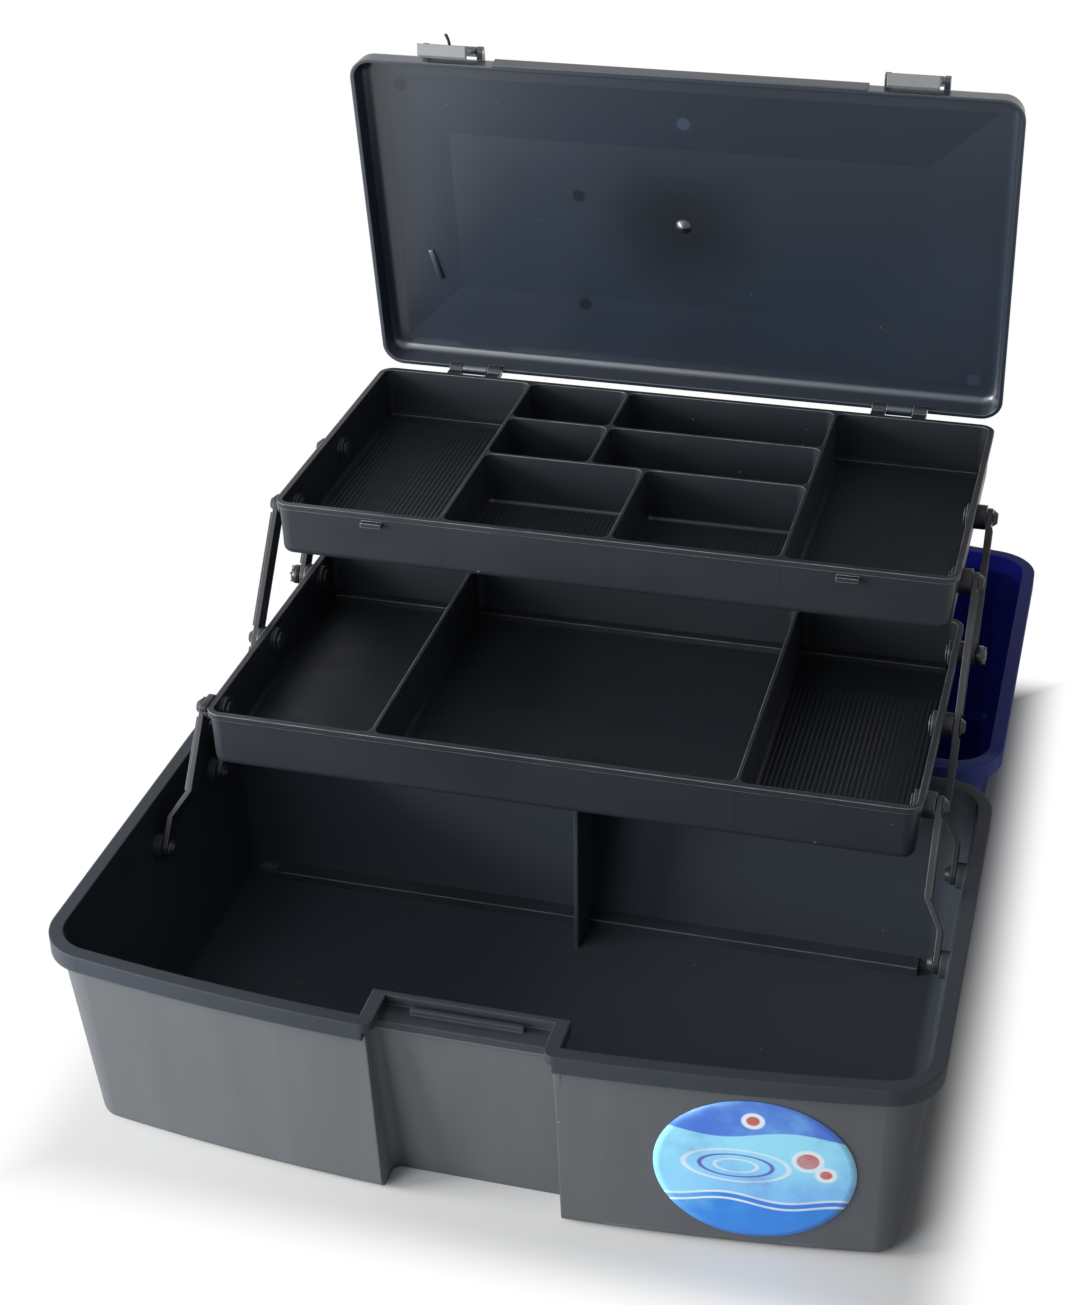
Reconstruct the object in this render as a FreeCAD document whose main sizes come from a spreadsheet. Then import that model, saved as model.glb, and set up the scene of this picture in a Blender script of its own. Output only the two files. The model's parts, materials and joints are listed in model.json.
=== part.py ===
"""Portable tackle box with two cantilever trays, a covered top tray and a folding handle.

The frame has +Z up, +Y towards the rear, X to the right seen from the front. The origin lies on the
table under the hinge line of the lid. The box is modelled open: the lid lies behind the tub, and
the trays stand on their links.
"""

import FreeCAD, Part
import math
import os
import re

import Sketcher
from FreeCAD import Rotation, Vector

doc = FreeCAD.newDocument("TackleBox")

SIZES = [
    # tub and lid, which share one shell form
    ("box_width", 406, "over the rim bands"),
    ("box_depth", 252.5, "rear rim band to the foremost point of the bow"),
    ("shell_height", 107.75, "outer bottom to rim"),
    ("rim_gap", 0.25, "half the gap between the two rims of the closed box"),
    ("hinge_setback", 5.5, "hinge axis to rear rim band"),
    ("wall", 2.6, "wall of tub and lid"),
    ("floor_wall", 3, "bottom of tub and top of lid"),
    ("band_height", 9, "rim band"),
    ("band_proud", 4, "rim band over the wall"),
    ("draft_angle", 5.6, "how far the walls of tub and lid lean in"),
    ("bow_radius", 1150, "curve of the front"),
    ("shell_corner", 21, "upright corners of the shell"),
    ("bottom_round", 6, "outer edge round the bottom"),
    ("inner_round", 6, "inner edge round the bottom"),
    ("notch_width", 84, "recess in the front"),
    ("notch_depth", 9, "recess at the rim"),
    ("notch_depth_low", 18, "recess at the bottom"),
    ("recess_round", 4, "upright corners of the recess"),
    ("band_round", 5, "rim band where it turns into the recess"),
    ("ledge_drop", 4.75, "ledge below the rim"),
    ("ledge_depth", 10, "ledge from the front panel to the inner rim"),
    ("rim_wall", 3, "inner rim behind the ledge"),
    ("lip_height", 5, "lip along the front of the ledge"),
    ("lip_proud", 1.6, "lip over the front panel"),
    ("ridge_share", 0.607, "length of the ridge on the ledge, share of the recess"),
    ("ridge_width", 2.4, "ridge on the ledge"),
    ("ridge_height", 2.6, "ridge on the ledge"),
    ("rib_length", 28, "middle rib of the tub, out from the rear wall"),
    ("rib_wall", 2.2, "middle rib"),
    ("rest_gap", 0.6, "folded middle tray over the rib"),
    ("lug_station_share", 0.2956, "middle of the box to a lid hinge, share of its width"),
    ("lug_span", 50, "length of a lid hinge"),
    ("lug_share", 0.25, "end knuckle of a hinge, share of its length"),
    ("lug_radius", 4.5, "lid hinge knuckle"),
    ("lug_pin", 2, "lid hinge pin, radius"),
    # links and their pivots
    ("pivot_inset", 53.5, "rear tub pivot in front of the hinge axis"),
    ("pivot_drop", 23.15, "tub pivots below the rim"),
    ("pivot_spacing", 71, "between neighbouring pivots on a tray"),
    ("link_length", 71.5, "pivot to pivot of a short link"),
    ("link_angle", 53, "links over the horizontal, box open"),
    ("fold_angle", 105.5, "swing of the links from open to folded"),
    ("link_width", 10, "link strip"),
    ("link_wall", 2.6, "link strip"),
    ("boss_proud", 3.53, "pivot bosses of the tub over its inner wall"),
    ("boss_stand", 4.6, "pivot bosses of the trays over their rim lip"),
    ("foot_offset", 7.6, "sideways step of a link's foot"),
    ("foot_length", 15, "foot of a link, from its pivot"),
    ("joggle_length", 14, "slanted part of a link's foot"),
    ("pin_radius", 2.2, "pivot pins"),
    ("pin_head", 4.5, "head of a pivot pin, radius"),
    ("head_height", 2.4, "head of a pivot pin"),
    ("head_share", 0.6, "flat of a bevelled head, share of its radius"),
    ("boss_radius", 6.4, "bosses for the pivots"),
    ("ring_radius", 4.2, "retaining ring"),
    ("ring_wall", 1.2, "retaining ring"),
    ("running_gap", 0.05, "radial clearance of each pin"),
    ("side_gap", 0.4, "between pieces that swing past each other"),
    # trays
    ("tray_margin", 71.5, "how much less deep a tray is than the box"),
    ("tray_height", 30, "tray"),
    ("tray_wall", 1.9, "outer wall"),
    ("tray_floor", 2, "floor"),
    ("tray_draft", 2, "lean of the walls in degrees"),
    ("tray_corner", 7, "upright corners"),
    ("tray_round", 4, "outer edge round the bottom"),
    ("lip_wall", 1.2, "rim lip over the outer wall"),
    ("lip_band", 3, "height of the rim lip"),
    ("divider_wall", 1.6, "dividers"),
    ("bay_corner", 4.5, "upright corners of a compartment"),
    ("bay_round", 2.5, "edge round the floor of a compartment"),
    ("middle_divider_share", 0.2545, "dividers of the middle tray from its middle, share of its width"),
    ("left_divider_share", 0.2443, "left divider of the top tray, share of its width"),
    ("right_divider_share", 0.2529, "right divider of the top tray, share of its width"),
    ("rear_split_share", 0.0814, "short rear divider left of the middle, share of its width"),
    ("front_split_share", 0.0057, "short front divider right of the middle, share of its width"),
    ("front_cross_share", 0.464, "front cross divider from the front, share of the depth"),
    ("rear_cross_share", 0.7238, "rear cross divider from the front, share of the depth"),
    ("middle_overhang", 18.5, "front of the middle tray to its first pivot"),
    ("top_overhang", 25, "front of the top tray to its first pivot"),
    ("middle_rim_rise", 8.3, "rim of the middle tray over its pivots"),
    ("top_rim_rise", 13.2, "rim of the top tray over its pivots"),
    ("boss_reach", 5.5, "inner face of a tray boss inside the rim lip"),
    ("catch_width", 11, "catch tab on the top tray"),
    ("catch_wall", 2.4, "catch tab"),
    ("catch_drop", 6.2, "catch tab below the rim"),
    ("catch_proud", 1.4, "catch tab over the rim lip"),
    # cover of the top tray
    ("cover_side", 2.2, "side of the cover outside the top tray"),
    ("cover_front_gap", 0.5, "free edge of the cover in front of the top tray"),
    ("cover_depth", 14, "cover"),
    ("cover_wall", 2.2, "cover"),
    ("cover_corner", 12, "upright corners"),
    ("cover_round", 7, "outer edge round the panel"),
    ("cover_draft", 8, "lean of the walls in degrees"),
    ("cover_gap", 0.5, "closed cover over the rim of the top tray"),
    ("cover_setback", 8.5, "rear rim of the top tray to the cover hinge axis"),
    ("cover_rear_reach", 1, "rear wall of the cover behind its hinge axis"),
    ("cover_open_angle", 79.5, "open cover, turned back from closed"),
    ("field_width_share", 0.923, "raised field, share of the cover's width"),
    ("field_depth_share", 0.863, "raised field, share of the cover's reach"),
    ("field_rise", 1.4, "raised field of the cover"),
    ("field_bevel", 34, "slope round the raised field"),
    ("band_end_gap", 7.3, "band on the free edge to the ears of the latches"),
    ("edge_band_wall", 1, "band on the free edge of the cover"),
    ("edge_band_height", 7, "band on the free edge of the cover"),
    ("hinge_share", 0.3477, "middle to cover hinges, latches and catch tabs, share of the tray's width"),
    ("hinge_span", 30, "length of a cover hinge"),
    ("knuckle_radius", 3.2, "cover hinge knuckle"),
    ("fine_pin", 1.2, "pins of the cover hinge and of the latches, radius"),
    # latches
    ("latch_width", 26, "cover latch"),
    ("latch_wall", 2, "cover latch"),
    ("latch_gap", 1.5, "cover latch in front of the cover"),
    ("latch_rise", 11, "cover latch pivot over the rim of the top tray"),
    ("latch_nose", 2.6, "hook of a latch"),
    ("latch_open_angle", 24, "cover latches, swung out from closed"),
    ("ear_wall", 3, "ears that carry a latch"),
    ("barrel_radius", 2.6, "barrel of a latch"),
    ("clasp_side", 10.6, "ears of the front latch to the sides of the recess"),
    ("clasp_wall", 3, "front latch of the lid"),
    ("clasp_gap", 3.4, "front latch in front of the lid's panel"),
    ("clasp_rise", 26, "front latch pivot over the rim of the closed box"),
    ("clasp_nose", 3, "hook of the front latch"),
    ("clasp_barrel", 4.2, "barrel of the front latch"),
    # carrying handle
    ("handle_side_gap", 6, "handle to the ends of its recess"),
    ("handle_seat", 1.2, "handle to the floor and the rear wall of its recess"),
    ("finger_gap", 8.8, "grip of the handle to the front wall of its recess"),
    ("well_corner", 6, "upright corners of the recess of the handle"),
    ("well_inset", 122, "hinge axis to the recess of the handle"),
    ("handle_length", 156, "handle along X"),
    ("handle_reach", 50, "handle from the back of its eyes to its grip"),
    ("handle_bar", 14, "width of the arms and the grip"),
    ("handle_wall", 8.6, "thickness of the handle"),
    ("handle_round", 2.8, "edges of the handle"),
    # for cuts that run past a face
    ("overrun", 5, "how far a cut runs past the face it opens"),
]

sheet = doc.addObject("Spreadsheet::Sheet", "Sizes")
for row, (alias, size, meaning) in enumerate(SIZES, start=1):
    sheet.set(f"A{row}", f"{alias}: {meaning}")
    sheet.set(f"B{row}", str(size))
    sheet.setAlias(f"B{row}", alias)
doc.recompute()


# Sizes that follow from those of the sheet.
WORKED_OUT = {
    "pivot_level": "(shell_height - pivot_drop)",
    "link_plane": ("(box_width / 2 - band_proud - wall - pivot_drop * tan(draft_angle)"
                   " - boss_proud - side_gap - link_wall - foot_offset)"),
    "tray_width": "(2 * (link_plane - side_gap - boss_stand))",
    "tray_depth": "(box_depth - tray_margin)",
    "cover_width": "(tray_width + 2 * cover_side)",
    "cover_reach": "(tray_depth + cover_setback + cover_front_gap)",
    "lug_station": "(lug_station_share * box_width)",
    "hinge_station": "(hinge_share * tray_width)",
    "field_width": "(field_width_share * cover_width)",
    "field_depth": "(field_depth_share * cover_reach)",
    "edge_band_length": "(2 * (hinge_station - latch_width / 2 - side_gap - ear_wall - band_end_gap))",
    "ridge_length": "(ridge_share * notch_width)",
    "clasp_width": "(notch_width - 2 * (side_gap + ear_wall + clasp_side))",
    "well_length": "(handle_length + 2 * handle_side_gap)",
    "well_depth": "(handle_seat + handle_reach + finger_gap)",
    "well_drop": "(handle_wall + 2 * handle_seat)",
}


def bound(expression):
    """Expression on the sheet: a worked-out size is written out, and the others get the sheet's name."""
    def written(word):
        name = word.group()
        return bound(WORKED_OUT[name]) if name in WORKED_OUT else f"Sizes.{name}"
    return re.sub(r"\b[a-z][a-z_]*\b(?!\()", written, expression)


def amount(expression):
    """Number that an expression has now."""
    return float(sheet.evalExpression(bound(expression)))


# Places that several pieces share, as expressions on the sizes.
HINGE_LEVEL = "(shell_height + rim_gap)"
REACH = "(link_length * cos(link_angle))"
RISE = "(link_length * sin(link_angle))"
FOLDED_ANGLE = "(link_angle + fold_angle)"
TUB_PIVOTS = ["(-pivot_inset - pivot_spacing)", "(-pivot_inset)"]
MIDDLE_FRONT = f"(-pivot_inset - pivot_spacing + {REACH} - middle_overhang)"
MIDDLE_RIM = f"(pivot_level + {RISE} + middle_rim_rise)"
TOP_FRONT = f"(-pivot_inset + 2 * {REACH} - top_overhang)"
TOP_RIM = f"(pivot_level + 2 * {RISE} + top_rim_rise)"
COVER_AXIS = f"({TOP_FRONT} + tray_depth + cover_setback)"
FOLDED_MIDDLE_FLOOR = (f"(pivot_level + link_length * sin({FOLDED_ANGLE}) + middle_rim_rise"
                       " - tray_height)")
WALL_HALF = "(box_width / 2 - band_proud)"
WALL_REAR = "(-hinge_setback - band_proud)"
WALL_FRONT = "(-hinge_setback - box_depth + band_proud)"
LOW_FRONT = f"({WALL_FRONT} + shell_height * tan(draft_angle))"
PANEL = f"({WALL_FRONT} + notch_depth)"
INNER_RIM = f"({PANEL} + ledge_depth)"
LEDGE_LEVEL = "(shell_height - ledge_drop)"
PANEL_LEAN = f"(({LOW_FRONT} + notch_depth_low - {PANEL}) / {LEDGE_LEVEL})"
PANEL_AT_RIM = f"({PANEL} - ledge_drop * {PANEL_LEAN})"
BOSS_FACE = "(link_plane - side_gap)"
BOSS_ROOT = "(tray_width / 2 - boss_reach)"
TUB_BOSS_FACE = "(link_plane + foot_offset + link_wall + side_gap)"
LATCH_AXIS = ("(-cover_reach - latch_gap - latch_wall / 2)", "latch_rise")
CLASP_AXIS = (f"({PANEL} - clasp_gap - clasp_wall / 2)", f"({HINGE_LEVEL} - clasp_rise)")
HANDLE_EYE = ("(-well_inset - handle_wall / 2 - handle_seat)", "(well_drop / 2)")


def new_body(label):
    """Sub-part whose name is the name of its node."""
    body = doc.addObject("PartDesign::Body", label)
    body.Label = label
    return body


def sketch_on(body, name, role, level="0"):
    """Sketch on one of the body's own planes, moved along the plane's normal to a level."""
    plane = next(feature for feature in body.Origin.OriginFeatures if feature.Role == role)
    sketch = body.newObject("Sketcher::SketchObject", name)
    sketch.AttachmentSupport = (plane, [""])
    sketch.MapMode = "FlatFace"
    if level != "0":
        sketch.setExpression("AttachmentOffset.Base.z", bound(level))
    return sketch


def constrain(sketch, kind, *terms):
    """Constraint with a dimension that stays bound to the sheet; the last term is its expression."""
    *places, expression = terms
    index = sketch.addConstraint(Sketcher.Constraint(kind, *places, amount(expression)))
    sketch.setExpression(f"Constraints[{index}]", bound(expression))


def line(start, end):
    return Part.LineSegment(Vector(*start, 0), Vector(*end, 0))


def arc(centre, radius, start, end):
    """Arc that runs counter-clockwise, angles in degrees."""
    circle = Part.Circle(Vector(*centre, 0), Vector(0, 0, 1), radius)
    return Part.ArcOfCircle(circle, math.radians(start), math.radians(end))


def join_tangent(sketch, joints):
    for first, first_end, second, second_end in joints:
        sketch.addConstraint(Sketcher.Constraint("Tangent", first, first_end, second, second_end))


def polygon(sketch, corners):
    """Closed outline through corners, each a pair of expressions."""
    spots = [(amount(across), amount(along)) for across, along in corners]
    following = spots[1:] + spots[:1]
    first = sketch.GeometryCount
    for start, end in zip(spots, following):
        sketch.addGeometry(line(start, end), False)
    count = len(corners)
    for index, (across, along) in enumerate(corners):
        geometry = first + index
        before = first + (index - 1) % count
        sketch.addConstraint(Sketcher.Constraint("Coincident", before, 2, geometry, 1))
        constrain(sketch, "DistanceX", -1, 1, geometry, 1, across)
        constrain(sketch, "DistanceY", -1, 1, geometry, 1, along)


def rectangle(sketch, left, right, front, rear):
    polygon(sketch, [(left, front), (right, front), (right, rear), (left, rear)])


def rounded_rectangle(sketch, left, right, front, rear, corner):
    """Closed outline of four sides and four round corners."""
    west, east, south, north, radius = (amount(term) for term in (left, right, front, rear, corner))
    first = sketch.GeometryCount
    outline = [
        line((west + radius, south), (east - radius, south)),
        line((east, south + radius), (east, north - radius)),
        line((east - radius, north), (west + radius, north)),
        line((west, north - radius), (west, south + radius)),
        arc((east - radius, south + radius), radius, -90, 0),
        arc((east - radius, north - radius), radius, 0, 90),
        arc((west + radius, north - radius), radius, 90, 180),
        arc((west + radius, south + radius), radius, 180, 270),
    ]
    for edge in outline:
        sketch.addGeometry(edge, False)
    front_side, right_side, rear_side, left_side = (first + index for index in range(4))
    turns = [first + 4 + index for index in range(4)]
    sides = [front_side, right_side, rear_side, left_side]
    for index, turn in enumerate(turns):
        join_tangent(sketch, [(sides[index], 2, turn, 1), (turn, 2, sides[(index + 1) % 4], 1)])
    for side in (front_side, rear_side):
        sketch.addConstraint(Sketcher.Constraint("Horizontal", side))
    for side in (right_side, left_side):
        sketch.addConstraint(Sketcher.Constraint("Vertical", side))
    constrain(sketch, "Radius", turns[0], corner)
    for turn in turns[1:]:
        sketch.addConstraint(Sketcher.Constraint("Equal", turns[0], turn))
    constrain(sketch, "DistanceX", -1, 1, left_side, 1, left)
    constrain(sketch, "DistanceX", -1, 1, right_side, 1, right)
    constrain(sketch, "DistanceY", -1, 1, front_side, 1, front)
    constrain(sketch, "DistanceY", -1, 1, rear_side, 1, rear)


def circles(sketch, places, radius):
    """Equal circles, each place a pair of expressions."""
    for across, along in places:
        centre = Vector(amount(across), amount(along), 0)
        index = sketch.addGeometry(Part.Circle(centre, Vector(0, 0, 1), amount(radius)), False)
        constrain(sketch, "Radius", index, radius)
        constrain(sketch, "DistanceX", -1, 1, index, 3, across)
        constrain(sketch, "DistanceY", -1, 1, index, 3, along)


def bowed_outline(sketch, half, rear, front, corner):
    """Outline of a shell: straight sides and rear, bowed front, four round corners."""
    east, north, south, radius, bow = (amount(term) for term in (half, rear, front, corner, "bow_radius"))
    centre = south + bow
    turn = (east - radius, centre - math.sqrt((bow - radius) ** 2 - (east - radius) ** 2))
    angle = math.degrees(math.atan2(turn[1] - centre, turn[0]))
    outline = [
        arc((0, centre), bow, -180 - angle, angle),
        line((east, turn[1]), (east, north - radius)),
        line((east - radius, north), (radius - east, north)),
        line((-east, north - radius), (-east, turn[1])),
        arc(turn, radius, angle, 0),
        arc((east - radius, north - radius), radius, 0, 90),
        arc((radius - east, north - radius), radius, 90, 180),
        arc((-turn[0], turn[1]), radius, -180, -180 - angle),
    ]
    for edge in outline:
        sketch.addGeometry(edge, False)
    front_side, right_side, rear_side, left_side = range(4)
    turns = range(4, 8)
    for index, corner_arc in enumerate(turns):
        join_tangent(sketch, [(index, 2, corner_arc, 1), (corner_arc, 2, (index + 1) % 4, 1)])
    sketch.addConstraint(Sketcher.Constraint("Horizontal", rear_side))
    for side in (right_side, left_side):
        sketch.addConstraint(Sketcher.Constraint("Vertical", side))
    constrain(sketch, "Radius", turns[0], corner)
    for corner_arc in turns[1:]:
        sketch.addConstraint(Sketcher.Constraint("Equal", turns[0], corner_arc))
    constrain(sketch, "Radius", front_side, "bow_radius")
    sketch.addConstraint(Sketcher.Constraint("PointOnObject", front_side, 3, -2))
    constrain(sketch, "DistanceY", -1, 1, front_side, 3, f"{front} + bow_radius")
    constrain(sketch, "DistanceX", -1, 1, left_side, 1, f"-{half}")
    constrain(sketch, "DistanceX", -1, 1, right_side, 1, half)
    constrain(sketch, "DistanceY", -1, 1, rear_side, 1, rear)


def pad(body, name, sketch, length, back=False, draft=None):
    """Solid from a sketch along its normal, or against it; a draft makes it narrower on its way."""
    feature = body.newObject("PartDesign::Pad", name)
    feature.Profile = sketch
    feature.setExpression("Length", bound(length))
    feature.Reversed = back
    if draft:
        feature.setExpression("TaperAngle", bound(f"-{draft}"))
    doc.recompute()
    return feature


def pocket(body, name, sketch, length, along=False, draft=None):
    """Cut from a sketch against its normal, or along it; the cut has to take something away."""
    before = body.Shape.Volume
    feature = body.newObject("PartDesign::Pocket", name)
    feature.Profile = sketch
    feature.setExpression("Length", bound(length))
    feature.Reversed = along
    if draft:
        feature.setExpression("TaperAngle", bound(f"-{draft}"))
    doc.recompute()
    if not body.Shape.Volume < before:
        raise ValueError(f"{body.Label}: {name} cuts nothing")
    return feature


def loft(body, name, lower, upper, cut):
    """Solid between two sketches, added to the body or cut from it."""
    kind = "SubtractiveLoft" if cut else "AdditiveLoft"
    feature = body.newObject(f"PartDesign::{kind}", name)
    feature.Profile = lower
    feature.Sections = [upper]
    feature.Ruled = True
    doc.recompute()
    return feature


def round_edges(body, name, radius, wanted):
    """Fillet on the edges of the body that a test on their points picks."""
    tip = body.Tip
    picked = []
    for index, edge in enumerate(tip.Shape.Edges, start=1):
        spots = [edge.valueAt(edge.FirstParameter + (edge.LastParameter - edge.FirstParameter) * share)
                 for share in (0, 0.25, 0.5, 0.75, 1)]
        if all(wanted(spot) for spot in spots):
            picked.append(f"Edge{index}")
    if not picked:
        raise ValueError(f"{body.Label}: {name} finds no edge")
    feature = body.newObject("PartDesign::Fillet", name)
    feature.Base = (tip, picked)
    feature.setExpression("Radius", bound(radius))
    doc.recompute()
    if feature.Shape.isNull() or not feature.Shape.isValid():
        raise ValueError(f"{body.Label}: {name} fails")
    return feature


def near(value, expression):
    """True within a hair of a size."""
    return abs(value - amount(expression)) < amount("running_gap") / 10


def shell(label, ledge):
    """Open shell that the tub and the lid share, rim up, rear at the hinge; the tub's has a ledge."""
    body = new_body(label)
    half_notch = "(notch_width / 2)"
    outline = sketch_on(body, f"{label}_outline", "XY_Plane", "shell_height")
    bowed_outline(outline, WALL_HALF, WALL_REAR, WALL_FRONT, "shell_corner")
    pad(body, f"{label}_outer", outline, "shell_height", back=True, draft="draft_angle")
    round_edges(body, f"{label}_bottom_round", "bottom_round", lambda spot: near(spot.z, "0"))

    band = sketch_on(body, f"{label}_band_outline", "XY_Plane", "shell_height - band_height")
    bowed_outline(band, "(box_width / 2)", "(-hinge_setback)", f"({WALL_FRONT} - band_proud)",
                  "(shell_corner + band_proud)")
    pad(body, f"{label}_band", band, "band_height")

    inside = sketch_on(body, f"{label}_inside_outline", "XY_Plane", "shell_height")
    bowed_outline(inside, f"({WALL_HALF} - wall)", f"({WALL_REAR} - wall)", f"({WALL_FRONT} + wall)",
                  "(shell_corner - wall)")
    pocket(body, f"{label}_inside", inside, "shell_height - floor_wall", draft="draft_angle")
    round_edges(body, f"{label}_floor_round", "inner_round", lambda spot: near(spot.z, "floor_wall"))

    behind = [(f"{LOW_FRONT} + wall", "floor_wall / 2"),
              (f"{LOW_FRONT} + notch_depth_low + wall", "floor_wall / 2")]
    before = [(f"{WALL_FRONT} - overrun", "-overrun"),
              (f"{LOW_FRONT} + notch_depth_low", "-overrun"),
              (f"{LOW_FRONT} + notch_depth_low", "0")]
    if ledge:
        behind += [(f"{PANEL} + wall", f"{LEDGE_LEVEL} - wall"),
                   (f"{INNER_RIM} + rim_wall", f"{LEDGE_LEVEL} - wall"),
                   (f"{INNER_RIM} + rim_wall", "shell_height"),
                   (f"{WALL_FRONT} + wall / 2", "shell_height"),
                   (f"{WALL_FRONT} + wall / 2", f"{LEDGE_LEVEL} - wall")]
        before += [(PANEL, LEDGE_LEVEL), (f"{WALL_FRONT} - overrun", LEDGE_LEVEL)]
    else:
        behind += [(f"{PANEL_AT_RIM} + wall", "shell_height"), (f"{WALL_FRONT} + wall / 2", "shell_height")]
        before += [(PANEL_AT_RIM, "shell_height"), (PANEL_AT_RIM, "shell_height + overrun"),
                   (f"{WALL_FRONT} - overrun", "shell_height + overrun")]
    recess = sketch_on(body, f"{label}_recess_outline", "YZ_Plane", f"-{half_notch} - wall")
    polygon(recess, behind)
    pad(body, f"{label}_recess", recess, "notch_width + 2 * wall")
    front_cut = sketch_on(body, f"{label}_panel_outline", "YZ_Plane", f"-{half_notch}")
    polygon(front_cut, before)
    pocket(body, f"{label}_panel", front_cut, "notch_width", along=True)
    if ledge:
        step = sketch_on(body, f"{label}_step_outline", "XY_Plane", LEDGE_LEVEL)
        rectangle(step, f"-{half_notch} + band_proud", f"{half_notch} - band_proud",
                  f"{WALL_FRONT} - overrun", INNER_RIM)
        pocket(body, f"{label}_step", step, "ledge_drop + overrun", along=True)
    return body


def strip(sketch, length, radius):
    """Outline of a link: two sides and two round ends, from the origin along the first axis."""
    reach, bend = amount(length), amount(radius)
    first = sketch.GeometryCount
    for edge in (line((0, -bend), (reach, -bend)), arc((reach, 0), bend, -90, 90),
                 line((reach, bend), (0, bend)), arc((0, 0), bend, 90, 270)):
        sketch.addGeometry(edge, False)
    low, tip, high, root = range(first, first + 4)
    join_tangent(sketch, [(low, 2, tip, 1), (tip, 2, high, 1), (high, 2, root, 1), (root, 2, low, 1)])
    sketch.addConstraint(Sketcher.Constraint("Equal", tip, root))
    sketch.addConstraint(Sketcher.Constraint("Coincident", root, 3, -1, 1))
    sketch.addConstraint(Sketcher.Constraint("PointOnObject", tip, 3, -1))
    constrain(sketch, "Radius", root, radius)
    constrain(sketch, "DistanceX", -1, 1, tip, 3, length)


def bosses(body, name, places, start, end, radius, hole_start):
    """Equal round bosses on the left and right sides, from start to end, with holes for pins."""
    for side, word in ((1, "right"), (-1, "left")):
        foot = sketch_on(body, f"{name}_{word}_boss", "YZ_Plane", f"{side} * {start}")
        circles(foot, places, radius)
        pad(body, f"{name}_{word}_bosses", foot, f"{end} - {start}", back=side < 0)
    for side, word in ((1, "right"), (-1, "left")):
        mouth = sketch_on(body, f"{name}_{word}_bore", "YZ_Plane", f"{side} * {hole_start}")
        circles(mouth, places, "pin_radius + running_gap")
        depth = f"abs({end} - {start})"
        pocket(body, f"{name}_{word}_bores", mouth, depth, along=(side > 0) == (hole_start == start))


def knuckles(body, name, axis, radius, pin, web, spans):
    """Hinge knuckles along X round an axis; each span is its left end and its length."""
    across, level = axis
    web_back, web_low, web_high = web
    for index, (left, length) in enumerate(spans, start=1):
        arm = sketch_on(body, f"{name}_arm_outline_{index}", "YZ_Plane", left)
        rectangle(arm, web_back, across, web_low, web_high)
        pad(body, f"{name}_arm_{index}", arm, length)
        ring = sketch_on(body, f"{name}_ring_outline_{index}", "YZ_Plane", left)
        circles(ring, [axis], radius)
        pad(body, f"{name}_ring_{index}", ring, length)
        bore = sketch_on(body, f"{name}_bore_outline_{index}", "YZ_Plane", left)
        circles(bore, [axis], f"{pin} + running_gap")
        pocket(body, f"{name}_bore_{index}", bore, length, along=True)


def end_spans(station, span):
    """Outer knuckles of the two hinges, one pair at each station."""
    spans = []
    for side in (-1, 1):
        spans.append((f"{side} * {station} - {span} / 2", f"{span} * lug_share"))
        spans.append((f"{side} * {station} + {span} * (0.5 - lug_share)", f"{span} * lug_share"))
    return spans


def middle_spans(station, span):
    """Knuckles between the outer ones, with a gap at each end."""
    return [(f"{side} * {station} - {span} * (0.5 - lug_share) + side_gap",
             f"{span} * (1 - 2 * lug_share) - 2 * side_gap") for side in (-1, 1)]


def shell_details(body, label, band_end, radius, spans):
    """Rounding at the upright edges of the recess, and the hinge knuckles on the rear rim band."""
    def panel_corner(spot):
        return (near(abs(spot.x), "notch_width / 2")
                and near(spot.y - (amount(LEDGE_LEVEL) - spot.z) * amount(PANEL_LEAN), PANEL))

    def band_corner(spot):
        return (near(abs(spot.x), band_end) and spot.z > amount("shell_height - band_height - wall")
                and spot.y < amount(f"{WALL_FRONT} - band_proud / 2"))

    round_edges(body, f"{label}_recess_round", "recess_round", panel_corner)
    round_edges(body, f"{label}_band_round", radius, band_corner)
    knuckles(body, f"{label}_hinge", ("0", HINGE_LEVEL), "lug_radius", "lug_pin",
             ("(-hinge_setback - band_proud / 2)", f"({HINGE_LEVEL} - lug_radius)", "shell_height"), spans)


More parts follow.
